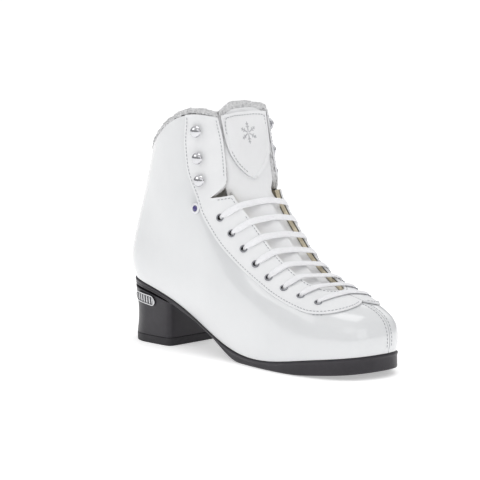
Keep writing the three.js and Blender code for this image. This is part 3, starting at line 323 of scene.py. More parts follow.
# %% [markdown]
# ## Finishes
#
# Every finish is built from nodes on Object coordinates, so it stays in place when the boot moves.
# Grain and tone are used by many finishes, so each is a group with its own inputs: grain gives a
# normal, tone gives a colour that wanders between two shades.

# %% Node groups for grain and tone
def new_group(name, inputs, outputs):
    group = bpy.data.node_groups.new(name, "ShaderNodeTree")
    for title, kind, value in inputs:
        socket = group.interface.new_socket(title, in_out="INPUT", socket_type=kind)
        if value is not None:
            socket.default_value = value
    for title, kind in outputs:
        group.interface.new_socket(title, in_out="OUTPUT", socket_type=kind)
    return group, group.nodes.new("NodeGroupInput"), group.nodes.new("NodeGroupOutput")


def node(tree, kind, **settings):
    made = tree.nodes.new(kind)
    for key, value in settings.items():
        if key in made.inputs:
            made.inputs[key].default_value = value
        else:
            setattr(made, key, value)
    return made


def grain_group():
    group, given, out = new_group(
        "grain",
        [("Vector", "NodeSocketVector", None), ("Pores", "NodeSocketFloat", 900.0),
         ("Folds", "NodeSocketFloat", 60.0), ("Pore depth", "NodeSocketFloat", 0.5),
         ("Fold depth", "NodeSocketFloat", 0.5)],
        [("Normal", "NodeSocketVector"), ("Mask", "NodeSocketFloat")],
    )
    link = group.links.new
    pores = node(group, "ShaderNodeTexVoronoi", feature="DISTANCE_TO_EDGE")
    link(given.outputs["Vector"], pores.inputs["Vector"])
    link(given.outputs["Pores"], pores.inputs["Scale"])
    folds = node(group, "ShaderNodeTexNoise", Detail=4.0, Roughness=0.6)
    link(given.outputs["Vector"], folds.inputs["Vector"])
    link(given.outputs["Folds"], folds.inputs["Scale"])
    deep = node(group, "ShaderNodeBump", Distance=0.0012)
    link(given.outputs["Fold depth"], deep.inputs["Strength"])
    link(folds.outputs["Fac"], deep.inputs["Height"])
    fine = node(group, "ShaderNodeBump", Distance=0.00018)
    link(given.outputs["Pore depth"], fine.inputs["Strength"])
    link(pores.outputs["Distance"], fine.inputs["Height"])
    link(deep.outputs["Normal"], fine.inputs["Normal"])
    link(fine.outputs["Normal"], out.inputs["Normal"])
    link(folds.outputs["Fac"], out.inputs["Mask"])
    return group


def tone_group():
    group, given, out = new_group(
        "tone",
        [("Vector", "NodeSocketVector", None), ("Scale", "NodeSocketFloat", 20.0),
         ("Shade", "NodeSocketColor", (0.8, 0.8, 0.8, 1)), ("Light", "NodeSocketColor", (1, 1, 1, 1))],
        [("Color", "NodeSocketColor")],
    )
    link = group.links.new
    drift = node(group, "ShaderNodeTexNoise", Detail=5.0, Roughness=0.65)
    link(given.outputs["Vector"], drift.inputs["Vector"])
    link(given.outputs["Scale"], drift.inputs["Scale"])
    reach = node(group, "ShaderNodeMapRange")
    reach.inputs["From Min"].default_value = 0.3
    reach.inputs["From Max"].default_value = 0.7
    link(drift.outputs["Fac"], reach.inputs["Value"])
    mix = node(group, "ShaderNodeMix", data_type="RGBA")
    link(reach.outputs["Result"], mix.inputs["Factor"])
    link(given.outputs["Shade"], mix.inputs[6])
    link(given.outputs["Light"], mix.inputs[7])
    link(mix.outputs[2], out.inputs["Color"])
    return group


GRAIN = grain_group()
TONE = tone_group()
print("groups", GRAIN.name, TONE.name)

# %% A material of one finish
def finish_of(name, shade, light, scale, pores, folds, depths, **shader):
    """A material between two shades. scale, pores and folds say how fine its tone and grain are,
    depths how deep pores and folds go. The rest are inputs of the shader."""
    material = bpy.data.materials.new(name)
    material.use_nodes = True
    tree = material.node_tree
    tree.nodes.clear()
    out = tree.nodes.new("ShaderNodeOutputMaterial")
    principled = tree.nodes.new("ShaderNodeBsdfPrincipled")
    for key, value in shader.items():
        principled.inputs[key.replace("_", " ")].default_value = value
    places = tree.nodes.new("ShaderNodeTexCoord")
    tone = tree.nodes.new("ShaderNodeGroup")
    tone.node_tree = TONE
    tone.inputs["Scale"].default_value = scale
    tone.inputs["Shade"].default_value = (*shade, 1)
    tone.inputs["Light"].default_value = (*light, 1)
    grain = tree.nodes.new("ShaderNodeGroup")
    grain.node_tree = GRAIN
    grain.inputs["Pores"].default_value = pores
    grain.inputs["Folds"].default_value = folds
    grain.inputs["Pore depth"].default_value = depths[0]
    grain.inputs["Fold depth"].default_value = depths[1]
    link = tree.links.new
    link(places.outputs["Object"], tone.inputs["Vector"])
    link(places.outputs["Object"], grain.inputs["Vector"])
    link(tone.outputs["Color"], principled.inputs["Base Color"])
    link(grain.outputs["Normal"], principled.inputs["Normal"])
    link(principled.outputs["BSDF"], out.inputs["Surface"])
    return material


# %% [markdown]
# The upper is patent leather: white pigment under a clear, hard coat, so it has a soft body and a
# sharp coat. The facings and tongue are plain semi-matt leather. Raw edges show the tan core.

# %% Leather, thread and plush
PATENT = finish_of(
    "patent_leather", (0.69, 0.70, 0.71), (0.75, 0.757, 0.765), 12, 1500, 26, (0.03, 0.12),
    Roughness=0.3, Coat_Weight=1.0, Coat_Roughness=0.10, Coat_IOR=1.55,
)
FACING = finish_of(
    "facing_leather", (0.79, 0.795, 0.805), (0.85, 0.853, 0.86), 30, 1900, 90, (0.45, 0.16),
    Roughness=0.5,
)
TONGUE = finish_of(
    "tongue_leather", (0.79, 0.79, 0.80), (0.84, 0.843, 0.85), 30, 1700, 70, (0.4, 0.22),
    Roughness=0.46,
)
RAW_EDGE = finish_of(
    "backing_leather", (0.60, 0.52, 0.37), (0.80, 0.73, 0.57), 260, 2600, 700, (0.8, 0.5),
    Roughness=0.85,
)
# The thread's grey is partly its own colour and partly painted shade of the dents and needle holes
# round each stitch, which are not modelled.
THREAD_WITH_PAINTED_SHADE = finish_of(
    "thread", (0.33, 0.34, 0.36), (0.50, 0.51, 0.53), 900, 6000, 2500, (0.8, 0.4), Roughness=0.7,
)
PLUSH = finish_of(
    "plush", (0.56, 0.56, 0.565), (0.86, 0.86, 0.865), 420, 1500, 900, (1.0, 1.0), Roughness=1.0,
    Sheen_Weight=0.4, Sheen_Roughness=0.5,
)
LINING = finish_of(
    "lining", (0.52, 0.50, 0.47), (0.66, 0.64, 0.60), 160, 1600, 400, (0.9, 0.5), Roughness=0.9,
    Sheen_Weight=0.3,
)
MARK = finish_of(
    "printed_mark", (0.42, 0.42, 0.44), (0.56, 0.56, 0.58), 200, 1700, 70, (0.4, 0.2),
    Roughness=0.5,
)
print("leathers, thread and plush ready")

# %% [markdown]
# Eyelets are dull grey metal, hooks are polished chrome, and the flex rivet is enamelled. The sole
# unit is one moulding of dark, slightly rough plastic.

# %% Metal, enamel and the sole
CHROME = finish_of(
    "hook_chrome", (0.58, 0.58, 0.60), (0.70, 0.70, 0.72), 60, 3000, 300, (0.02, 0.03),
    Metallic=1.0, Roughness=0.09,
)
EYELET_METAL = finish_of(
    "eyelet_metal", (0.22, 0.22, 0.24), (0.38, 0.39, 0.41), 300, 4000, 900, (0.1, 0.15),
    Metallic=1.0, Roughness=0.34,
)
BADGE_METAL = finish_of(
    "badge_chrome", (0.50, 0.50, 0.51), (0.64, 0.64, 0.65), 200, 3000, 300, (0.05, 0.08),
    Metallic=1.0, Roughness=0.22,
)
BADGE_GROUND = finish_of(
    "badge_ground", (0.05, 0.05, 0.055), (0.10, 0.10, 0.11), 200, 3000, 300, (0.3, 0.2),
    Metallic=0.6, Roughness=0.5,
)
STEEL = finish_of(
    "shank_steel", (0.42, 0.43, 0.45), (0.58, 0.59, 0.61), 90, 3000, 300, (0.1, 0.2),
    Metallic=1.0, Roughness=0.4,
)
WHITE_ENAMEL = finish_of(
    "rivet_enamel", (0.78, 0.78, 0.82), (0.86, 0.86, 0.88), 80, 2500, 200, (0.03, 0.05),
    Roughness=0.18, Coat_Weight=0.6, Coat_Roughness=0.05,
)
VIOLET_ENAMEL = finish_of(
    "violet_enamel", (0.045, 0.035, 0.16), (0.10, 0.085, 0.28), 250, 2500, 200, (0.03, 0.05),
    Roughness=0.2, Coat_Weight=0.6, Coat_Roughness=0.05,
)
SOLE = finish_of(
    "sole_unit", (0.020, 0.018, 0.022), (0.034, 0.031, 0.037), 45, 1300, 180, (0.3, 0.12),
    Roughness=0.38, Specular_IOR_Level=0.35,
)
HEEL_RUBBER = finish_of(
    "heel_rubber", (0.018, 0.017, 0.020), (0.032, 0.030, 0.034), 60, 900, 220, (0.5, 0.25),
    Roughness=0.55, Specular_IOR_Level=0.35,
)
BOARD = finish_of(
    "stiffener", (0.38, 0.29, 0.19), (0.52, 0.42, 0.30), 180, 1900, 600, (0.6, 0.6),
    Roughness=0.9,
)
for hidden, look in (("toe_puff", BOARD), ("heel_counter", BOARD), ("insole_board", BOARD),
                     ("shank", STEEL), ("heel_screw", STEEL)):
    NODES[hidden].data.materials.clear()
    NODES[hidden].data.materials.append(look)
print("materials", len(bpy.data.materials))

# %% [markdown]
# ## The quarters and cuffs
#
# On the real boot each half of the upper is one piece of patent leather from the sole to the top. The
# measured model cuts it at the ankle, where it bends. The two parts are merged again here, row by
# row.

# %% Join two parts at the ankle
def joined(lower, upper, cut=0.95 * MM):
    """One sheet from two measured parts whose rows face each other across the ankle cut."""
    low, high = copy_of(lower), copy_of(upper)
    low.verts.layers.int.new("part")
    part = high.verts.layers.int.new("part")
    for v in high.verts:
        v[part] = 1
    poured(high, low)
    part = low.verts.layers.int["part"]
    sides = [[v for v in low.verts if v[part] == k] for k in (0, 1)]
    twin = {}
    for a in sides[0]:
        near = [b for b in sides[1] if (a.co - b.co).length < cut]
        if near:
            twin[a] = min(near, key=lambda b: (a.co - b.co).length)
    ends = set(twin) | set(twin.values())
    caps = [f for f in low.faces if all(v in ends for v in f.verts)]
    bmesh.ops.delete(low, geom=caps, context="FACES")
    for a, b in twin.items():
        middle = (a.co + b.co) / 2
        a.co = b.co = middle
    bmesh.ops.weld_verts(low, targetmap={b: a for a, b in twin.items()})
    loose = [v for v in low.verts if not v.link_faces]
    bmesh.ops.delete(low, geom=loose, context="VERTS")
    low.normal_update()
    print(lower, "+", upper, "pairs", len(twin), "open edges", sum(e.is_boundary for e in low.edges))
    return low


def bends_at_ankle(piece):
    """Bakes the placement of the piece into its mesh."""
    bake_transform(piece)


# %% The two halves of the upper
UPPER_SKIN = {}
for side in SIDES:
    half = joined(f"quarter_{side}", f"cuff_{side}")
    rims = outer_rims(half)
    rub_edges(half, 0.4 * MM)
    half = smoothed(half, 2)
    UPPER_SKIN[side] = (skin_of(half), rims)
    piece = finished(
        f"upper_{side}", half, PATENT, (f"quarter_{side}", f"cuff_{side}"),
    )
    bends_at_ankle(piece)
    print(piece.name, "faces", len(piece.data.polygons))

# %% [markdown]
# The halves are sewn together down the toe and down the back. Each seam has a row of stitches on
# both of its sides.

# %% Stitches along the toe and back seams
def beside_seam(p, way):
    at_toe = p.x > 0.185 and abs(way.y) > 0.6 and p.z > 0.021
    at_back = p.x < 0.0 and abs(way.y) > 0.6 and 0.060 < p.z < 0.134
    return at_toe or at_back


for side in SIDES:
    skin, rims = UPPER_SKIN[side]
    rows = inset_rows(rims, skin, 2.1 * MM, beside_seam)
    seams = sewn(f"seam_stitches_{side}", rows, skin, THREAD_WITH_PAINTED_SHADE)
    bends_at_ankle(seams)

# %% [markdown]
# ## The facings
#
# A strip of plain leather is sewn over the edge of each half, to carry the eyelets and the hooks. It
# is a separate layer on top, so its cut edge stands proud all the way round.

# %% Facings and their stitches
FACING_RIMS = []


def beside_facing(p, way):
    at_toe_seam = p.x > 0.165 and abs(p.y) < 2.5 * MM
    at_top = p.z > 0.160 and way.z < -0.7
    return not at_toe_seam and not at_top


for side in SIDES:
    strip = joined(f"facing_lower_{side}", f"facing_cuff_{side}")
    rims = outer_rims(strip)
    FACING_RIMS.extend(rims)
    rub_edges(strip, 0.32 * MM)
    strip = smoothed(strip, 2)
    skin = skin_of(strip)
    rows = inset_rows(rims, skin, 2.0 * MM, beside_facing)
    piece = finished(
        f"facing_{side}", strip, FACING, (f"facing_lower_{side}", f"facing_cuff_{side}"),
    )
    bends_at_ankle(piece)
    stitches = sewn(f"facing_stitches_{side}", rows, skin, THREAD_WITH_PAINTED_SHADE)
    bends_at_ankle(stitches)

# %% [markdown]
# Behind the lower facing lies a second, thicker strip of tan leather. It is seen only where the far
# facing shows its edge between the laces.

# %% The tan backing strips
for side in SIDES:
    strip = copy_of(f"backing_lower_{side}")
    rub_edges(strip, 0.35 * MM)
    piece = finished(
        f"backing_strip_{side}", smoothed(strip, 2), RAW_EDGE, (f"backing_lower_{side}",),
    )
    bends_at_ankle(piece)
print("backing strips done")

# %% [markdown]
# ## Plush and lining
#
# The leg is lined with curly pile, which swells out in a roll along the top. Noise pushes each point
# in or out along its normal. A second, finer noise splits the lumps, so the outline looks curled.

# %% Push a surface out into curls
noise.seed_set(1)  # unseeded, Blender's turbulence follows the clock, and every run has other curls


def plumper(bm, extra):
    """Pushes the whole surface out by one distance."""
    bm.normal_update()
    normals = {v: v.normal.copy() for v in bm.verts}
    for v, normal in normals.items():
        v.co += normal * extra
    return bm


def curled(bm, height, size):
    bm.normal_update()
    normals = {v: v.normal.copy() for v in bm.verts}
    for v, normal in normals.items():
        p = v.co / size
        swirl = noise.turbulence_vector(p, 2, False) * 0.7
        lumps = noise.noise(p + swirl) + 0.55 * noise.noise(2.3 * p - swirl)
        v.co += normal * height * lumps
    bm.normal_update()
    return bm


for side in SIDES:
    roll = copy_of(f"collar_{side}")
    rub_edges(roll, 1.2 * MM, segments=2)
    roll = curled(smoothed(roll, 3), 1.15 * MM, 2.5 * MM)
    piece = finished(f"plush_roll_{side}", roll, PLUSH, (f"collar_{side}",), f"cuff_{side}")
    print(piece.name, "faces", len(piece.data.polygons))

# %% The lining of the cuffs and of the foot
for side in SIDES:
    for part, new in (("lining_cuff", "plush_lining"), ("backing_cuff", "plush_edge")):
        pile = copy_of(f"{part}_{side}")
        rub_edges(pile, 0.8 * MM, segments=2)
        pile = curled(plumper(smoothed(pile, 3), 0.5 * MM), 0.8 * MM, 2.3 * MM)
        piece = finished(f"{new}_{side}", pile, PLUSH, (f"{part}_{side}",))
        bends_at_ankle(piece)
    smooth = copy_of(f"lining_lower_{side}")
    piece = finished(
        f"foot_lining_{side}", smoothed(smooth, 1), LINING, (f"lining_lower_{side}",),
    )
    bends_at_ankle(piece)
bed = copy_of("footbed")
rub_edges(bed, 0.6 * MM)
finished("padded_footbed", smoothed(bed, 1), LINING, ("footbed",), "foot")
print("linings done")

# %% [markdown]
# ## The tongue
#
# The tongue is one long pad. Leather covers its front, and the same pile lines its back. It folds
# forwards at the ankle, so both parts are merged there.

# %% The room between the facings
COVER = bmesh.new()
for name in ("facing_lower", "facing_cuff", "quarter", "cuff"):
    for side in SIDES:
        COVER.from_mesh(NODES[f"{name}_{side}"].data)
COVER = skin_of(COVER)
edge_points = [p for line, closed in FACING_RIMS if len(line) > 12 for p in spaced(line, MM, closed)]
EDGES = KDTree(len(edge_points))
for k, p in enumerate(edge_points):
    EDGES.insert(p, k)
EDGES.balance()
SWELL = {"height": 4.5 * MM, "open": 17 * MM, "under": 8 * MM, "toe": 182 * MM, "fade": 14 * MM,
         "wider": 0.13, "wide_below": 122 * MM, "widening": 10 * MM}


def swollen(bm):
    """Lets the pad swell up along the edges of the facings, and spread out under them."""
    for v in bm.verts:
        outward = away(v.co)
        covered = COVER.ray_cast(v.co, outward, 25 * MM)[0] is not None
        reach = EDGES.find(v.co)[0] - v.co
        beside = (reach - outward * reach.dot(outward)).length
        share = max(1 - beside / SWELL["under" if covered else "open"], 0)
        share *= min(max((SWELL["toe"] - v.co.x) / SWELL["fade"], 0), 1)
        v.co += outward * SWELL["height"] * share * share * (3 - 2 * share)
        low = min(max((SWELL["wide_below"] - v.co.z) / SWELL["widening"], 0), 1)
        v.co.y *= 1 + SWELL["wider"] * low
    bm.normal_update()
    return bm


print("edge points", len(edge_points))


def bends_at_fold(piece):
    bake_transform(piece)


leather = joined("tongue_lower", "tongue_upper", 1.45 * MM)
rub_edges(leather, 0.4 * MM)
leather = swollen(smoothed(leather, 2))
for _ in range(4):
    bmesh.ops.smooth_vert(
        leather, verts=leather.verts, factor=0.5, use_axis_x=True, use_axis_y=True, use_axis_z=True,
    )
TONGUE_FACE = leather.copy()
piece = finished("tongue_leather", leather, TONGUE, ("tongue_lower", "tongue_upper"))
bends_at_fold(piece)
pile = joined("tongue_lining_lower", "tongue_lining_upper", 1.45 * MM)
rub_edges(pile, 1.0 * MM, segments=2)
pile = curled(plumper(swollen(smoothed(pile, 3)), 0.9 * MM), 0.9 * MM, 2.4 * MM)
piece = finished(
    "tongue_plush", pile, PLUSH, ("tongue_lining_lower", "tongue_lining_upper"),
)
bends_at_fold(piece)
print("tongue faces", len(piece.data.polygons))

# %% [markdown]
# A padded, shield-shaped patch is sewn to the tongue's front. Its face is crowned, and a channel runs
# just inside its rim, where the stitches pull it down.

# %% The padded patch
PATCH = {"seam": 2.6 * MM, "crown": 1.0 * MM, "shoulder": 5 * MM, "channel": 0.6 * MM,
         "groove": 0.9 * MM}


def padded_patch():
    patch = copy_of("tongue_patch")
    rub_edges(patch, 0.4 * MM)
    patch = swollen(smoothed(patch, 3))
    plain = copy_of("tongue_patch")
    rims = outer_rims(swollen(plain))
    plain.free()
    edge = [p for line, closed in rims for p in spaced(line, MM, closed)]
    for v in patch.verts:
        if v.normal.dot(away(v.co)) > 0.3:
            inside = min((v.co - p).length for p in edge)
            past = inside - PATCH["seam"]
            crown = PATCH["crown"] * (1 - math.exp(-(max(past, 0) / PATCH["shoulder"]) ** 2))
            channel = PATCH["channel"] * math.exp(-((past / PATCH["groove"]) ** 2))
            v.co += v.normal * (crown - channel)
    patch.normal_update()
    return patch, rims


patch, rims = padded_patch()
PATCH_SKIN = skin_of(patch)
rows = inset_rows(rims, PATCH_SKIN, PATCH["seam"], lambda p, way: True)
piece = finished("tongue_pad", patch, TONGUE, ("tongue_patch",), "tongue_top")
stitches = sewn("tongue_pad_stitches", rows, PATCH_SKIN, THREAD_WITH_PAINTED_SHADE)
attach(stitches, "tongue_top")

# %% [markdown]
# The patch carries a small generic snow crystal: six arms with two pairs of twigs. Each bar is a
# stretched ball laid on the patch, so it reads as a raised print.

# %% A snow crystal on the patch
def on_face(skin, point):
    """Where a line from outside through a point meets the outer face, and that face's normal."""
    outward = away(point)
    spot, up, _, _ = skin.ray_cast(point + outward * 40 * MM, -outward)
    return spot, up


def crystal_on(skin, centre_hint, radius):
    spot, up = on_face(skin, centre_hint)
    across = Vector((0, 1, 0))
    across = (across - up * across.dot(up)).normalized()
    rise = up.cross(across)
    bm = bmesh.new()

    def bar(start, end, width):
        a, b = (spot + across * x + rise * y for x, y in (start, end))
        middle, n = on_face(skin, (a + b) / 2)
        along = (b - a).normalized()
        side = n.cross(along).normalized()
        turn = Matrix((side, n, along)).transposed()
        if turn.determinant() < 0:
            turn = Matrix((-side, n, along)).transposed()
        size = Matrix.Diagonal((width / 2, 0.3 * MM, (b - a).length / 2, 1))
        at = Matrix.Translation(middle) @ turn.to_4x4() @ size
        bmesh.ops.create_uvsphere(bm, u_segments=10, v_segments=8, radius=1, matrix=at)

    for k in range(6):
        a = math.radians(30 + 60 * k)
        for near, far, width in ((0.06, 0.55, 1.0), (0.45, 1.0, 0.9)):
            ends = [(radius * f * math.cos(a), radius * f * math.sin(a)) for f in (near, far)]
            bar(ends[0], ends[1], width * MM)
        for f, reach in ((0.45, 0.26), (0.7, 0.2)):
            root = (radius * f * math.cos(a), radius * f * math.sin(a))
            for turn in (-1, 1):
                b = a + turn * math.radians(52)
                tip = (root[0] + radius * reach * math.cos(b), root[1] + radius * reach * math.sin(b))
                bar(root, tip, 0.75 * MM)
    return bm


lo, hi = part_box("tongue_patch")
hint = Vector(((lo.x + hi.x) / 2, 0, lo.z + 0.68 * (hi.z - lo.z)))
crystal = finished("snow_crystal", crystal_on(PATCH_SKIN, hint, 8.5 * MM), MARK)
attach(crystal, "tongue_top")
print("crystal at", [round(x / MM, 1) for x in hint])

# %% [markdown]
# ## Turned metal
#
# Eyelets, hooks and rivets are turned shapes. A profile is spun about the Z axis, then stood where
# its measured piece stands. That piece's own axis is the direction in which its points spread least
# or most evenly, and comes from the averages of their products.

# %% Where a turned piece stands
def roundness(points, middle, direction):
    """How unlike a turned shape the points are about this axis: 0 is perfect."""
    sums = Matrix(((0, 0, 0), (0, 0, 0), (0, 0, 0)))
    for p in points:
        d = p - middle
        for i in range(3):
            for j in range(3):
                sums[i][j] += d[i] * d[j]
    turned = sums @ direction
    along = turned.dot(direction)
    return (turned - direction * along).length / max(turned.length, 1e-12)


def axis_of(name):
    """The axis of a turned piece, looking outwards, and its middle along that axis."""
    points = [v.co.copy() for v in copy_of(name).verts]
    middle = sum(points, Vector()) / len(points)
    guess = away(middle)
    for turn in range(60):
        step = 0.4 * 0.88 ** turn
        side = guess.orthogonal().normalized()
        other = guess.cross(side)
        trials = [guess] + [(guess + side * dx + other * dy).normalized()
                            for dx, dy in ((step, 0), (-step, 0), (0, step), (0, -step))]
        guess = min(trials, key=lambda d: roundness(points, middle, d))
    heights = [(p - middle).dot(guess) for p in points]
    return guess, middle, min(heights), max(heights)


def spun(profile, segments=32):
    """A turned shape from a profile of (radius, height) in mm, with its axis along Z."""
    bm = bmesh.new()
    verts = [bm.verts.new((r * MM, 0, h * MM)) for r, h in profile]
    edges = [bm.edges.new(pair) for pair in zip(verts, verts[1:])]
    bmesh.ops.spin(
        bm, geom=verts + edges, cent=(0, 0, 0), axis=(0, 0, 1), angle=math.tau, steps=segments,
        use_merge=True, use_duplicate=False,
    )
    bmesh.ops.remove_doubles(bm, verts=bm.verts, dist=0.005 * MM)
    bmesh.ops.recalc_face_normals(bm, faces=bm.faces)
    return bm


def arc(cx, cy, radius, start, end, steps):
    """Points of (radius, height) on part of a circle, in degrees."""
    turns = [math.radians(start + (end - start) * k / steps) for k in range(steps + 1)]
    return [(cx + radius * math.cos(a), cy + radius * math.sin(a)) for a in turns]


def stand(bm, direction, foot):
    turn = direction.to_track_quat("Z", "Y").to_matrix().to_4x4()
    bmesh.ops.transform(bm, matrix=Matrix.Translation(foot) @ turn, verts=bm.verts)
    return bm


print("turning ready")

# %% The eyelets: a rolled rim on a short barrel
EYELET_PROFILE = (
    [(1.9, -4.6), (1.9, 1.6)]
    + arc(2.4, 1.85, 0.52, 180, 0, 10)
    + [(2.92, 1.75), (2.8, 1.6), (2.35, 1.6), (2.35, -3.7), (2.7, -3.9), (2.7, -4.3), (2.3, -4.6),
       (1.9, -4.6)]
)
EYELETS = {}
for side in SIDES:
    for k in range(1, 9):
        name = f"eyelet_{side}_{k}"
        direction, middle, low, high = axis_of(name)
        top = middle + direction * high
        EYELETS[side, k] = (top, direction)
        ring = stand(spun(EYELET_PROFILE), direction, top - direction * 2.6 * MM)
        finished(f"rolled_eyelet_{side}_{k}", ring, EYELET_METAL, (name,), "foot")
print("eyelets", len(EYELETS), "first stands at", [round(x / MM, 1) for x in EYELETS["right", 1][0]])

# %% The hooks: a dome on a neck
HOOK_PROFILE = (
    [(0, -4.5), (2.2, -4.5), (2.4, -4.3), (2.4, -3.6), (1.5, -3.5), (1.5, 1.85), (2.7, 1.9)]
    + arc(2.6, 2.3, 0.4, -60, 90, 5)
    + [(1.9, 2.75), (1.75, 3.2), (1.8, 4.5), (2.6, 4.75), (3.8, 4.6)]
    + arc(3.95, 4.95, 0.42, -90, 40, 5)
    + [(4.05, 5.7), (3.55, 6.25), (2.8, 6.75), (1.9, 7.1), (0.95, 7.28), (0, 7.33)]
)
for side in SIDES:
    for k in range(1, 4):
        name = f"hook_{side}_{k}"
        direction, middle, low, high = axis_of(name)
        hook = stand(spun(HOOK_PROFILE, 40), direction, middle + direction * (high - 7.3 * MM))
        finished(f"domed_hook_{side}_{k}", hook, CHROME, (name,), f"cuff_{side}")
print("hooks", 6)

# %% The flex rivets: a white ring round a violet cap
RING_PROFILE = (
    [(0, -2.9), (2.4, -2.9), (2.5, -2.4), (1.6, -2.1), (1.6, 0.3), (3.9, 0.3)]
    + arc(3.75, 0.68, 0.38, -60, 90, 5)
    + [(3.2, 1.22), (2.5, 1.22), (2.35, 1.0), (2.3, 0.6), (0, 0.6)]
)
CAP_PROFILE = [(0, 0.65), (2.15, 0.65), (2.2, 1.0), (1.9, 1.25), (1.2, 1.4), (0, 1.45)]
for side in SIDES:
    name = f"flex_rivet_{side}"
    direction, middle, low, high = axis_of(name)
    foot = middle + direction * (high - 1.4 * MM)
    ring = stand(spun(RING_PROFILE, 40), direction, foot)
    finished(f"rivet_ring_{side}", ring, WHITE_ENAMEL, (name,), "foot")
    cap = stand(spun(CAP_PROFILE, 32), direction, foot)
    finished(f"rivet_cap_{side}", cap, VIOLET_ENAMEL, (), "foot")
print("rivets done")

# %% [markdown]
# ## Lofting
#
# The sole and the lace are both rows of the same outline, one after another. The first row is a few
# vertices. Each next row is extruded from the last one and moved into place, and the ends are closed.

# %% Rows into a closed shape
def lofted(rows):
    bm = bmesh.new()
    place = bm.verts.layers.int.new("place")
    first = [bm.verts.new(p) for p in rows[0]]
    for k, v in enumerate(first):
        v[place] = k
    ring = [bm.edges.new((a, b)) for a, b in zip(first, first[1:] + first[:1])]
    ends = [list(ring)]
    for row in rows[1:]:
        made = bmesh.ops.extrude_edge_only(bm, edges=ring)["geom"]
        ring = [e for e in made if isinstance(e, bmesh.types.BMEdge)
                and all(v in made for v in e.verts) and len(e.link_faces) == 1]
        for v in (g for g in made if isinstance(g, bmesh.types.BMVert)):
            v.co = row[v[place]]
    ends.append(ring)
    for edges in ends:
        bmesh.ops.triangle_fill(bm, use_beauty=True, edges=edges)
    bmesh.ops.recalc_face_normals(bm, faces=bm.faces)
    return bm


print("loft ready")

# %% [markdown]
# ## The laces
#
# A flat woven lace crosses in straight bars. Pulled tight, a lace takes the shortest way over what
# lies under it, so each bar follows the upper hull of the facings and the tongue.

# %% Woven finish for the lace
SLANT, WEAVE_RATE, CORD_RATE = 0.9, 8.5, 7.0


def worked(tree, operation, *values):
    """The result of a sum on numbers and other nodes' outputs."""
    made = node(tree, "ShaderNodeMath", operation=operation)
    for socket, value in zip(made.inputs, values):
        if isinstance(value, float):
            socket.default_value = value
        else:
            tree.links.new(value, socket)
    return made.outputs[0]


def lace_material():
    """Slanting threads that meet in the middle, with finer cords across them."""
    material = finish_of(
        "lace", (0.90, 0.90, 0.92), (0.98, 0.98, 1.0), 500, 3500, 1200, (0.3, 0.3), Roughness=0.82,
        Sheen_Weight=0.25,
    )
    tree = material.node_tree
    link = tree.links.new
    along, across = (node(tree, "ShaderNodeAttribute", attribute_name=name).outputs["Fac"]
                     for name in ("along", "across"))
    slant = worked(tree, "MULTIPLY_ADD", worked(tree, "ABSOLUTE", across), SLANT, along)
    wave = worked(tree, "SINE", worked(tree, "MULTIPLY", slant, WEAVE_RATE))
    cords = worked(tree, "COSINE", worked(tree, "MULTIPLY", across, CORD_RATE))
    bump = node(tree, "ShaderNodeBump", Strength=0.5, Distance=0.00012)
    link(worked(tree, "MULTIPLY_ADD", wave, cords, wave), bump.inputs["Height"])
    shader = next(n for n in tree.nodes if n.type == "BSDF_PRINCIPLED")
    old = shader.inputs["Normal"].links[0].from_socket
    link(old, bump.inputs["Normal"])
    link(bump.outputs["Normal"], shader.inputs["Normal"])
    return material


LACE = lace_material()
print(LACE.name)

# %% The way of each bar
LACE_WIDTH = 5.2 * MM
LACE_THICK = 1.4 * MM
ground = TONGUE_FACE
for name in ("facing_lower_right", "facing_lower_left", "quarter_right", "quarter_left"):
    ground.from_mesh(NODES[name].data)
GROUND = skin_of(ground)


def hull_over(points):
    """The upper hull of points (distance, height), as heights at the same distances."""
    hull = []
    for p in points:
        while len(hull) > 1:
            (ax, ay), (bx, by) = hull[-2], hull[-1]
            if (by - ay) * (p[0] - ax) <= (p[1] - ay) * (bx - ax):
                hull.pop()
            else:
                break
        hull.append(p)
    heights, k = [], 0
    for x, _ in points:
        while k < len(hull) - 2 and hull[k + 1][0] < x:
            k += 1
        (ax, ay), (bx, by) = hull[k], hull[k + 1]
        heights.append(ay + (by - ay) * (x - ax) / (bx - ax))
    return heights


def bar_line(k, steps=48):
    (a, na), (b, nb) = EYELETS["right", k], EYELETS["left", k]
    chord = b - a
    length = chord.length
    along = chord.normalized()
    up = (na + nb).normalized()
    up = (up - along * up.dot(along)).normalized()
    wide = along.cross(up).normalized()
    lift = LACE_THICK / 2 + 0.15 * MM
    rest = []
    for i in range(steps + 1):
        x = length * i / steps
        needed = -20 * MM
        for offset in (-1.8 * MM, 0, 1.8 * MM):
            top = a + along * x + wide * offset + up * 60 * MM
            hit = GROUND.ray_cast(top, -up, 0.09)
            if hit[0] is not None:
                needed = max(needed, (hit[0] - a).dot(up) + lift)
        if i in (0, steps):
            needed = 0.4 * MM
        rest.append((x, needed))
    heights = hull_over(rest)
    for _ in range(14):
        inner = []
        for i in range(1, steps):
            floor_height = rest[i][1] if 2 < i < steps - 2 else -1
            mean = (heights[i - 1] + 2 * heights[i] + heights[i + 1]) / 4
            inner.append(max(floor_height, mean + 0.03 * MM))
        heights = [heights[0]] + inner + [heights[-1]]
    line = [a + along * x + up * h for (x, _), h in zip(rest, heights)]
    first = [a - na * 3.2 * MM, a - na * 1.2 * MM, a + na * 0.1 * MM + along * 0.5 * MM]
    last = [b + nb * 0.1 * MM - along * 0.5 * MM, b - nb * 1.2 * MM, b - nb * 3.2 * MM]
    return first + line[2:-2] + last, wide


def section(centre, wide, up, width, thick):
    """One flat oval row of the lace."""
    shape = ((-1, 0), (-0.93, 0.62), (-0.62, 0.95), (0, 1.0), (0.62, 0.95), (0.93, 0.62),
             (1, 0), (0.93, -0.62), (0.62, -0.95), (0, -1.0), (-0.62, -0.95), (-0.93, -0.62))
    return [centre + wide * (x * width / 2) + up * (y * thick / 2) for x, y in shape]


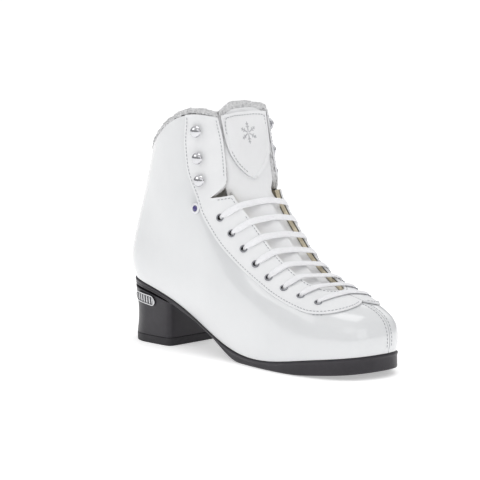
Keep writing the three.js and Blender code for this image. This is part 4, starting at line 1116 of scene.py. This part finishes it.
# %% The bars and the runs behind the facings
LACE_ROW = 0.8  # mm from one row to the next
PLAIN_END, WIDENING = 2.5, 6.0  # mm of narrow lace in an eyelet, and mm over which it widens


def flat_lace(line, wide):
    """Rows of a lace along a line, gathered where it goes through an eyelet."""
    line = spaced(eased(line, 3), LACE_ROW * MM)
    rows = []
    count = len(line)
    for i, p in enumerate(line):
        tangent = (line[min(i + 1, count - 1)] - line[max(i - 1, 0)]).normalized()
        side = (wide - tangent * wide.dot(tangent)).normalized()
        up = side.cross(tangent).normalized()
        reach = min(i, count - 1 - i) * LACE_ROW
        share = min(max((reach - PLAIN_END) / WIDENING, 0), 1)
        share = share * share * (3 - 2 * share)
        width = LACE_WIDTH * (0.6 + 0.4 * share)
        rows.append(section(p, side, up, width, LACE_THICK * (1.35 - 0.35 * share)))
    return rows


IN_EYELET, BEHIND, RUN_DEPTH = 3.0 * MM, 6.3 * MM, 3.9 * MM
lace = bmesh.new()
total = 0.0
for k in range(1, 9):
    line, wide = bar_line(k)
    rows = flat_lace(line, wide)
    total += sum((b[0] - a[0]).length for a, b in zip(rows, rows[1:]))
    bar = lofted(rows)
    along = bar.verts.layers.float.new("along")
    across = bar.verts.layers.float.new("across")
    a0, b0 = rows[0][3], rows[-1][3]
    for v in bar.verts:
        v[along] = (v.co - a0).dot((b0 - a0).normalized()) / MM
        v[across] = (v.co - a0).dot(wide) / MM
    poured(bar, lace)
for k in range(1, 8):
    side = "left" if k % 2 else "right"
    (a, na), (b, nb) = EYELETS[side, k], EYELETS[side, k + 1]
    line = [a - na * IN_EYELET, a - na * BEHIND, (a + b) / 2 - (na + nb) * RUN_DEPTH,
            b - nb * BEHIND, b - nb * IN_EYELET]
    total += sum((q - p).length for p, q in zip(line, line[1:]))
    poured(lofted(flat_lace(spaced(line, 1.5 * MM), na.cross(b - a).normalized())), lace)
finished("flat_lace", lace, LACE, ("lace",), "foot")
print("lace length in m", round(total, 3))

# %% [markdown]
# ## The sole and heel
#
# The sole unit is a moulding. Its outline is taken from the measured sole and smoothed, then stacked
# in rows: a rounded tread edge, a wall that draws in a little, and a thin lip under the upper.

# %% Outline of the sole
def level_rim(bm, looks_up):
    """The longest closed line where the wall of a plate meets its upper or lower face."""
    def wanted(e):
        low, high = sorted(f.normal.z for f in e.link_faces)
        return high > 0.6 and abs(low) < 0.6 if looks_up else low < -0.6 and abs(high) < 0.6

    return max((line for line, _ in chained_edges(bm, wanted)),
               key=lambda line: sum((b - a).length for a, b in zip(line, line[1:])))


def rounded_loop(loop, step, rounds):
    loop = spaced(loop, step, closed=True)[:-1]
    for _ in range(rounds):
        loop = [(loop[k - 1] + 2 * p + loop[(k + 1) % len(loop)]) / 4 for k, p in enumerate(loop)]
    return loop


plate = copy_of("outsole")
LOWER = rounded_loop(level_rim(plate, False), 2.5 * MM, 5)
UPPER = rounded_loop(level_rim(plate, True), 2.5 * MM, 5)
plate.free()
print("sole outline points", len(LOWER), len(UPPER))

# %% Rows of the sole
def sole_rows():
    middle = sum(LOWER, Vector()) / len(LOWER)
    count = len(LOWER)
    outs, tops = [], []
    for k, p in enumerate(LOWER):
        run = LOWER[(k + 1) % count] - LOWER[k - 1]
        out = Vector((run.y, -run.x, 0)).normalized()
        outs.append(out)
        tops.append(min(UPPER, key=lambda q: (q - p).xy.length).z)
    area = sum(p.x * q.y - q.x * p.y for p, q in zip(LOWER, LOWER[1:] + LOWER[:1]))
    if area < 0:
        outs = [-o for o in outs]
    tops = [(tops[k - 2] + tops[k - 1] + tops[k] + tops[(k + 1) % count] + tops[(k + 2) % count]) / 5
            for k in range(count)]
    profile = [("low", 0.0, -9.0), ("low", 0.0, -2.2), ("low", 0.12, -0.9), ("low", 0.5, -0.25),
               ("low", 1.1, 0.0), ("low", 2.0, 0.02), ("high", -2.6, -0.18), ("high", -2.2, 0.1),
               ("high", -1.9, 0.3), ("high", -1.3, 0.4), ("high", -0.6, 0.36), ("high", -0.15, 0.05),
               ("high", 0.0, -0.8), ("high", 0.0, -6.0)]
    rows = []
    for base, rise, out in profile:
        rows.append([
            Vector((p.x + outs[k].x * out * MM, p.y + outs[k].y * out * MM,
                    (p.z if base == "low" else tops[k]) + rise * MM))
            for k, p in enumerate(LOWER)
        ])
    return rows


sole = lofted(sole_rows())
finished("moulded_sole", smoothed(sole, 1), SOLE, ("outsole",), "foot")
print("sole done")

# %% [markdown]
# The heel block and its lift keep their measured shape. Their edges are rounded as a mould leaves
# them, and the curved back is smoothed by subdivision.

# %% Heel block, lift and badge
for name, new, look, slot in (("heel_block", "moulded_heel", SOLE, "sole_unit"),
                              ("heel_lift", "heel_top_piece", HEEL_RUBBER, "heel_rubber")):
    block = copy_of(name)
    bmesh.ops.dissolve_limit(
        block, angle_limit=math.radians(1.5), verts=block.verts,
        edges=[e for e in block.edges if len(e.link_faces) == 2
               and all(abs(f.normal.z) > 0.6 for f in e.link_faces)],
    )
    rub_edges(block, 0.3 * MM, segments=3, degrees=48)
    finished(new, smoothed(block, 2), look, (name,), "foot")
print("heel done")


BADGE = {"radius": 4.0 * MM, "half": 11.5 * MM, "border": 0.9 * MM, "rib_margin": 1.5 * MM,
         "sunk": 0.35 * MM, "rib": 0.3 * MM, "pitch": 3.0 * MM, "slope": 0.13}


def ribbed_badge():
    """The plain stadium with a raised border and upright ribs inside it."""
    badge = copy_of("heel_badge")
    rub_edges(badge, 0.25 * MM)
    badge = smoothed(badge, 4)
    ground = set()
    lo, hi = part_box("heel_badge")
    middle = (lo + hi) / 2
    normals = {v: v.normal.copy() for v in badge.verts}
    for v, normal in normals.items():
        if normal.dot(away(v.co)) < 0.3 and normal.y > -0.2:
            continue
        along = v.co.x - middle.x
        rise = v.co.z - middle.z + BADGE["slope"] * along
        past = max(abs(along) - (BADGE["half"] - BADGE["radius"]), 0)
        edge = BADGE["radius"] - math.hypot(past, rise)
        if edge < BADGE["border"] or normal.y > -0.2:
            continue
        sunk = BADGE["sunk"] * min((edge - BADGE["border"]) / BADGE["sunk"], 1)
        wave = math.cos(along / BADGE["pitch"] * math.tau)
        rib = max(wave, 0) ** 0.6 if edge > BADGE["rib_margin"] else 0
        v.co -= normal * (sunk - BADGE["rib"] * rib)
        if rib < 0.5:
            ground.add(v)
    for face in badge.faces:
        face.material_index = 1 if all(v in ground for v in face.verts) else 0
    badge.normal_update()
    return badge


piece = finished(
    "ribbed_badge", ribbed_badge(), BADGE_METAL, ("heel_badge",), "foot",
)
piece.data.materials.append(BADGE_GROUND)
print("badge done")

# %% [markdown]
# ## Floor, light and camera
#
# The studio is a plain pale floor under large soft lights. One wide light stands to the left of the
# boot, where patent leather needs a broad shape to reflect, and weaker ones fill the other sides.

# %% The studio
floor_mesh = bmesh.new()
bmesh.ops.create_grid(floor_mesh, x_segments=2, y_segments=2, size=20)
floor = finished("floor", floor_mesh, finish_of(
    "pale_floor", (0.93, 0.93, 0.93), (0.95, 0.95, 0.95), 2, 50, 10, (0.0, 0.0), Roughness=0.8,
    Emission_Color=(1, 1, 1, 1), Emission_Strength=0.42,
))

scene = bpy.context.scene
scene.view_settings.view_transform = "Standard"
world = bpy.data.worlds.new("studio")
scene.world = world
world.use_nodes = True
sky = world.node_tree
height = sky.nodes.new("ShaderNodeSeparateXYZ")
sky.links.new(sky.nodes.new("ShaderNodeTexCoord").outputs["Generated"], height.inputs[0])
fade = sky.nodes.new("ShaderNodeValToRGB")
fade.color_ramp.elements[0].position, fade.color_ramp.elements[0].color = 0.02, (0.34, 0.345, 0.355, 1)
fade.color_ramp.elements[1].position, fade.color_ramp.elements[1].color = 0.75, (1.0, 1.0, 1.0, 1)
sky.links.new(height.outputs["Z"], fade.inputs["Fac"])
sky.links.new(fade.outputs["Color"], sky.nodes["Background"].inputs["Color"])
sky.nodes["Background"].inputs["Strength"].default_value = 0.8


MIDDLE = Vector((0.09, 0, 0.08))


def soft_light(name, place, size, watts):
    data = bpy.data.lights.new(name, "AREA")
    data.shape = "RECTANGLE"
    data.size, data.size_y = size
    data.energy = watts
    light = bpy.data.objects.new(name, data)
    light.location = place
    light.rotation_mode = "QUATERNION"
    light.rotation_quaternion = (MIDDLE - Vector(place)).to_track_quat("-Z", "Y")
    scene.collection.objects.link(light)


soft_light("wide_left", (-0.55, -1.25, 0.95), (0.9, 0.6), 2.6)
soft_light("overhead", (0.25, 0.1, 1.6), (0.9, 0.9), 4.6)
soft_light("toe_side", (1.5, -0.25, 0.55), (0.6, 0.8), 1.4)
soft_light("beside_camera", (1.25, -1.1, 1.1), (0.8, 0.8), 1.3)
soft_light("behind", (-0.3, 1.4, 0.8), (1.0, 0.8), 1.5)

# %% [markdown]
# The camera stands low, to the outer side of the toe, with a long lens, as for a catalogue picture.

# %% The camera
AZIMUTH, ELEVATION, ROLL = math.radians(46.2), math.radians(8.3), math.radians(-0.5)
TARGET = Vector((0.0860, -0.0095, 0.0855))
DISTANCE = 1.9
lens = bpy.data.cameras.new("camera")
lens.sensor_width = 36
lens.lens = 193.23
camera = bpy.data.objects.new("camera", lens)
scene.collection.objects.link(camera)
back = Vector((math.sin(AZIMUTH) * math.cos(ELEVATION), -math.cos(AZIMUTH) * math.cos(ELEVATION),
               math.sin(ELEVATION)))
camera.location = TARGET + back * DISTANCE
camera.rotation_mode = "QUATERNION"
camera.rotation_quaternion = (-back).to_track_quat("-Z", "Y") @ Quaternion((0, 0, 1), ROLL)
scene.camera = camera
print("lens in mm", round(lens.lens, 1))
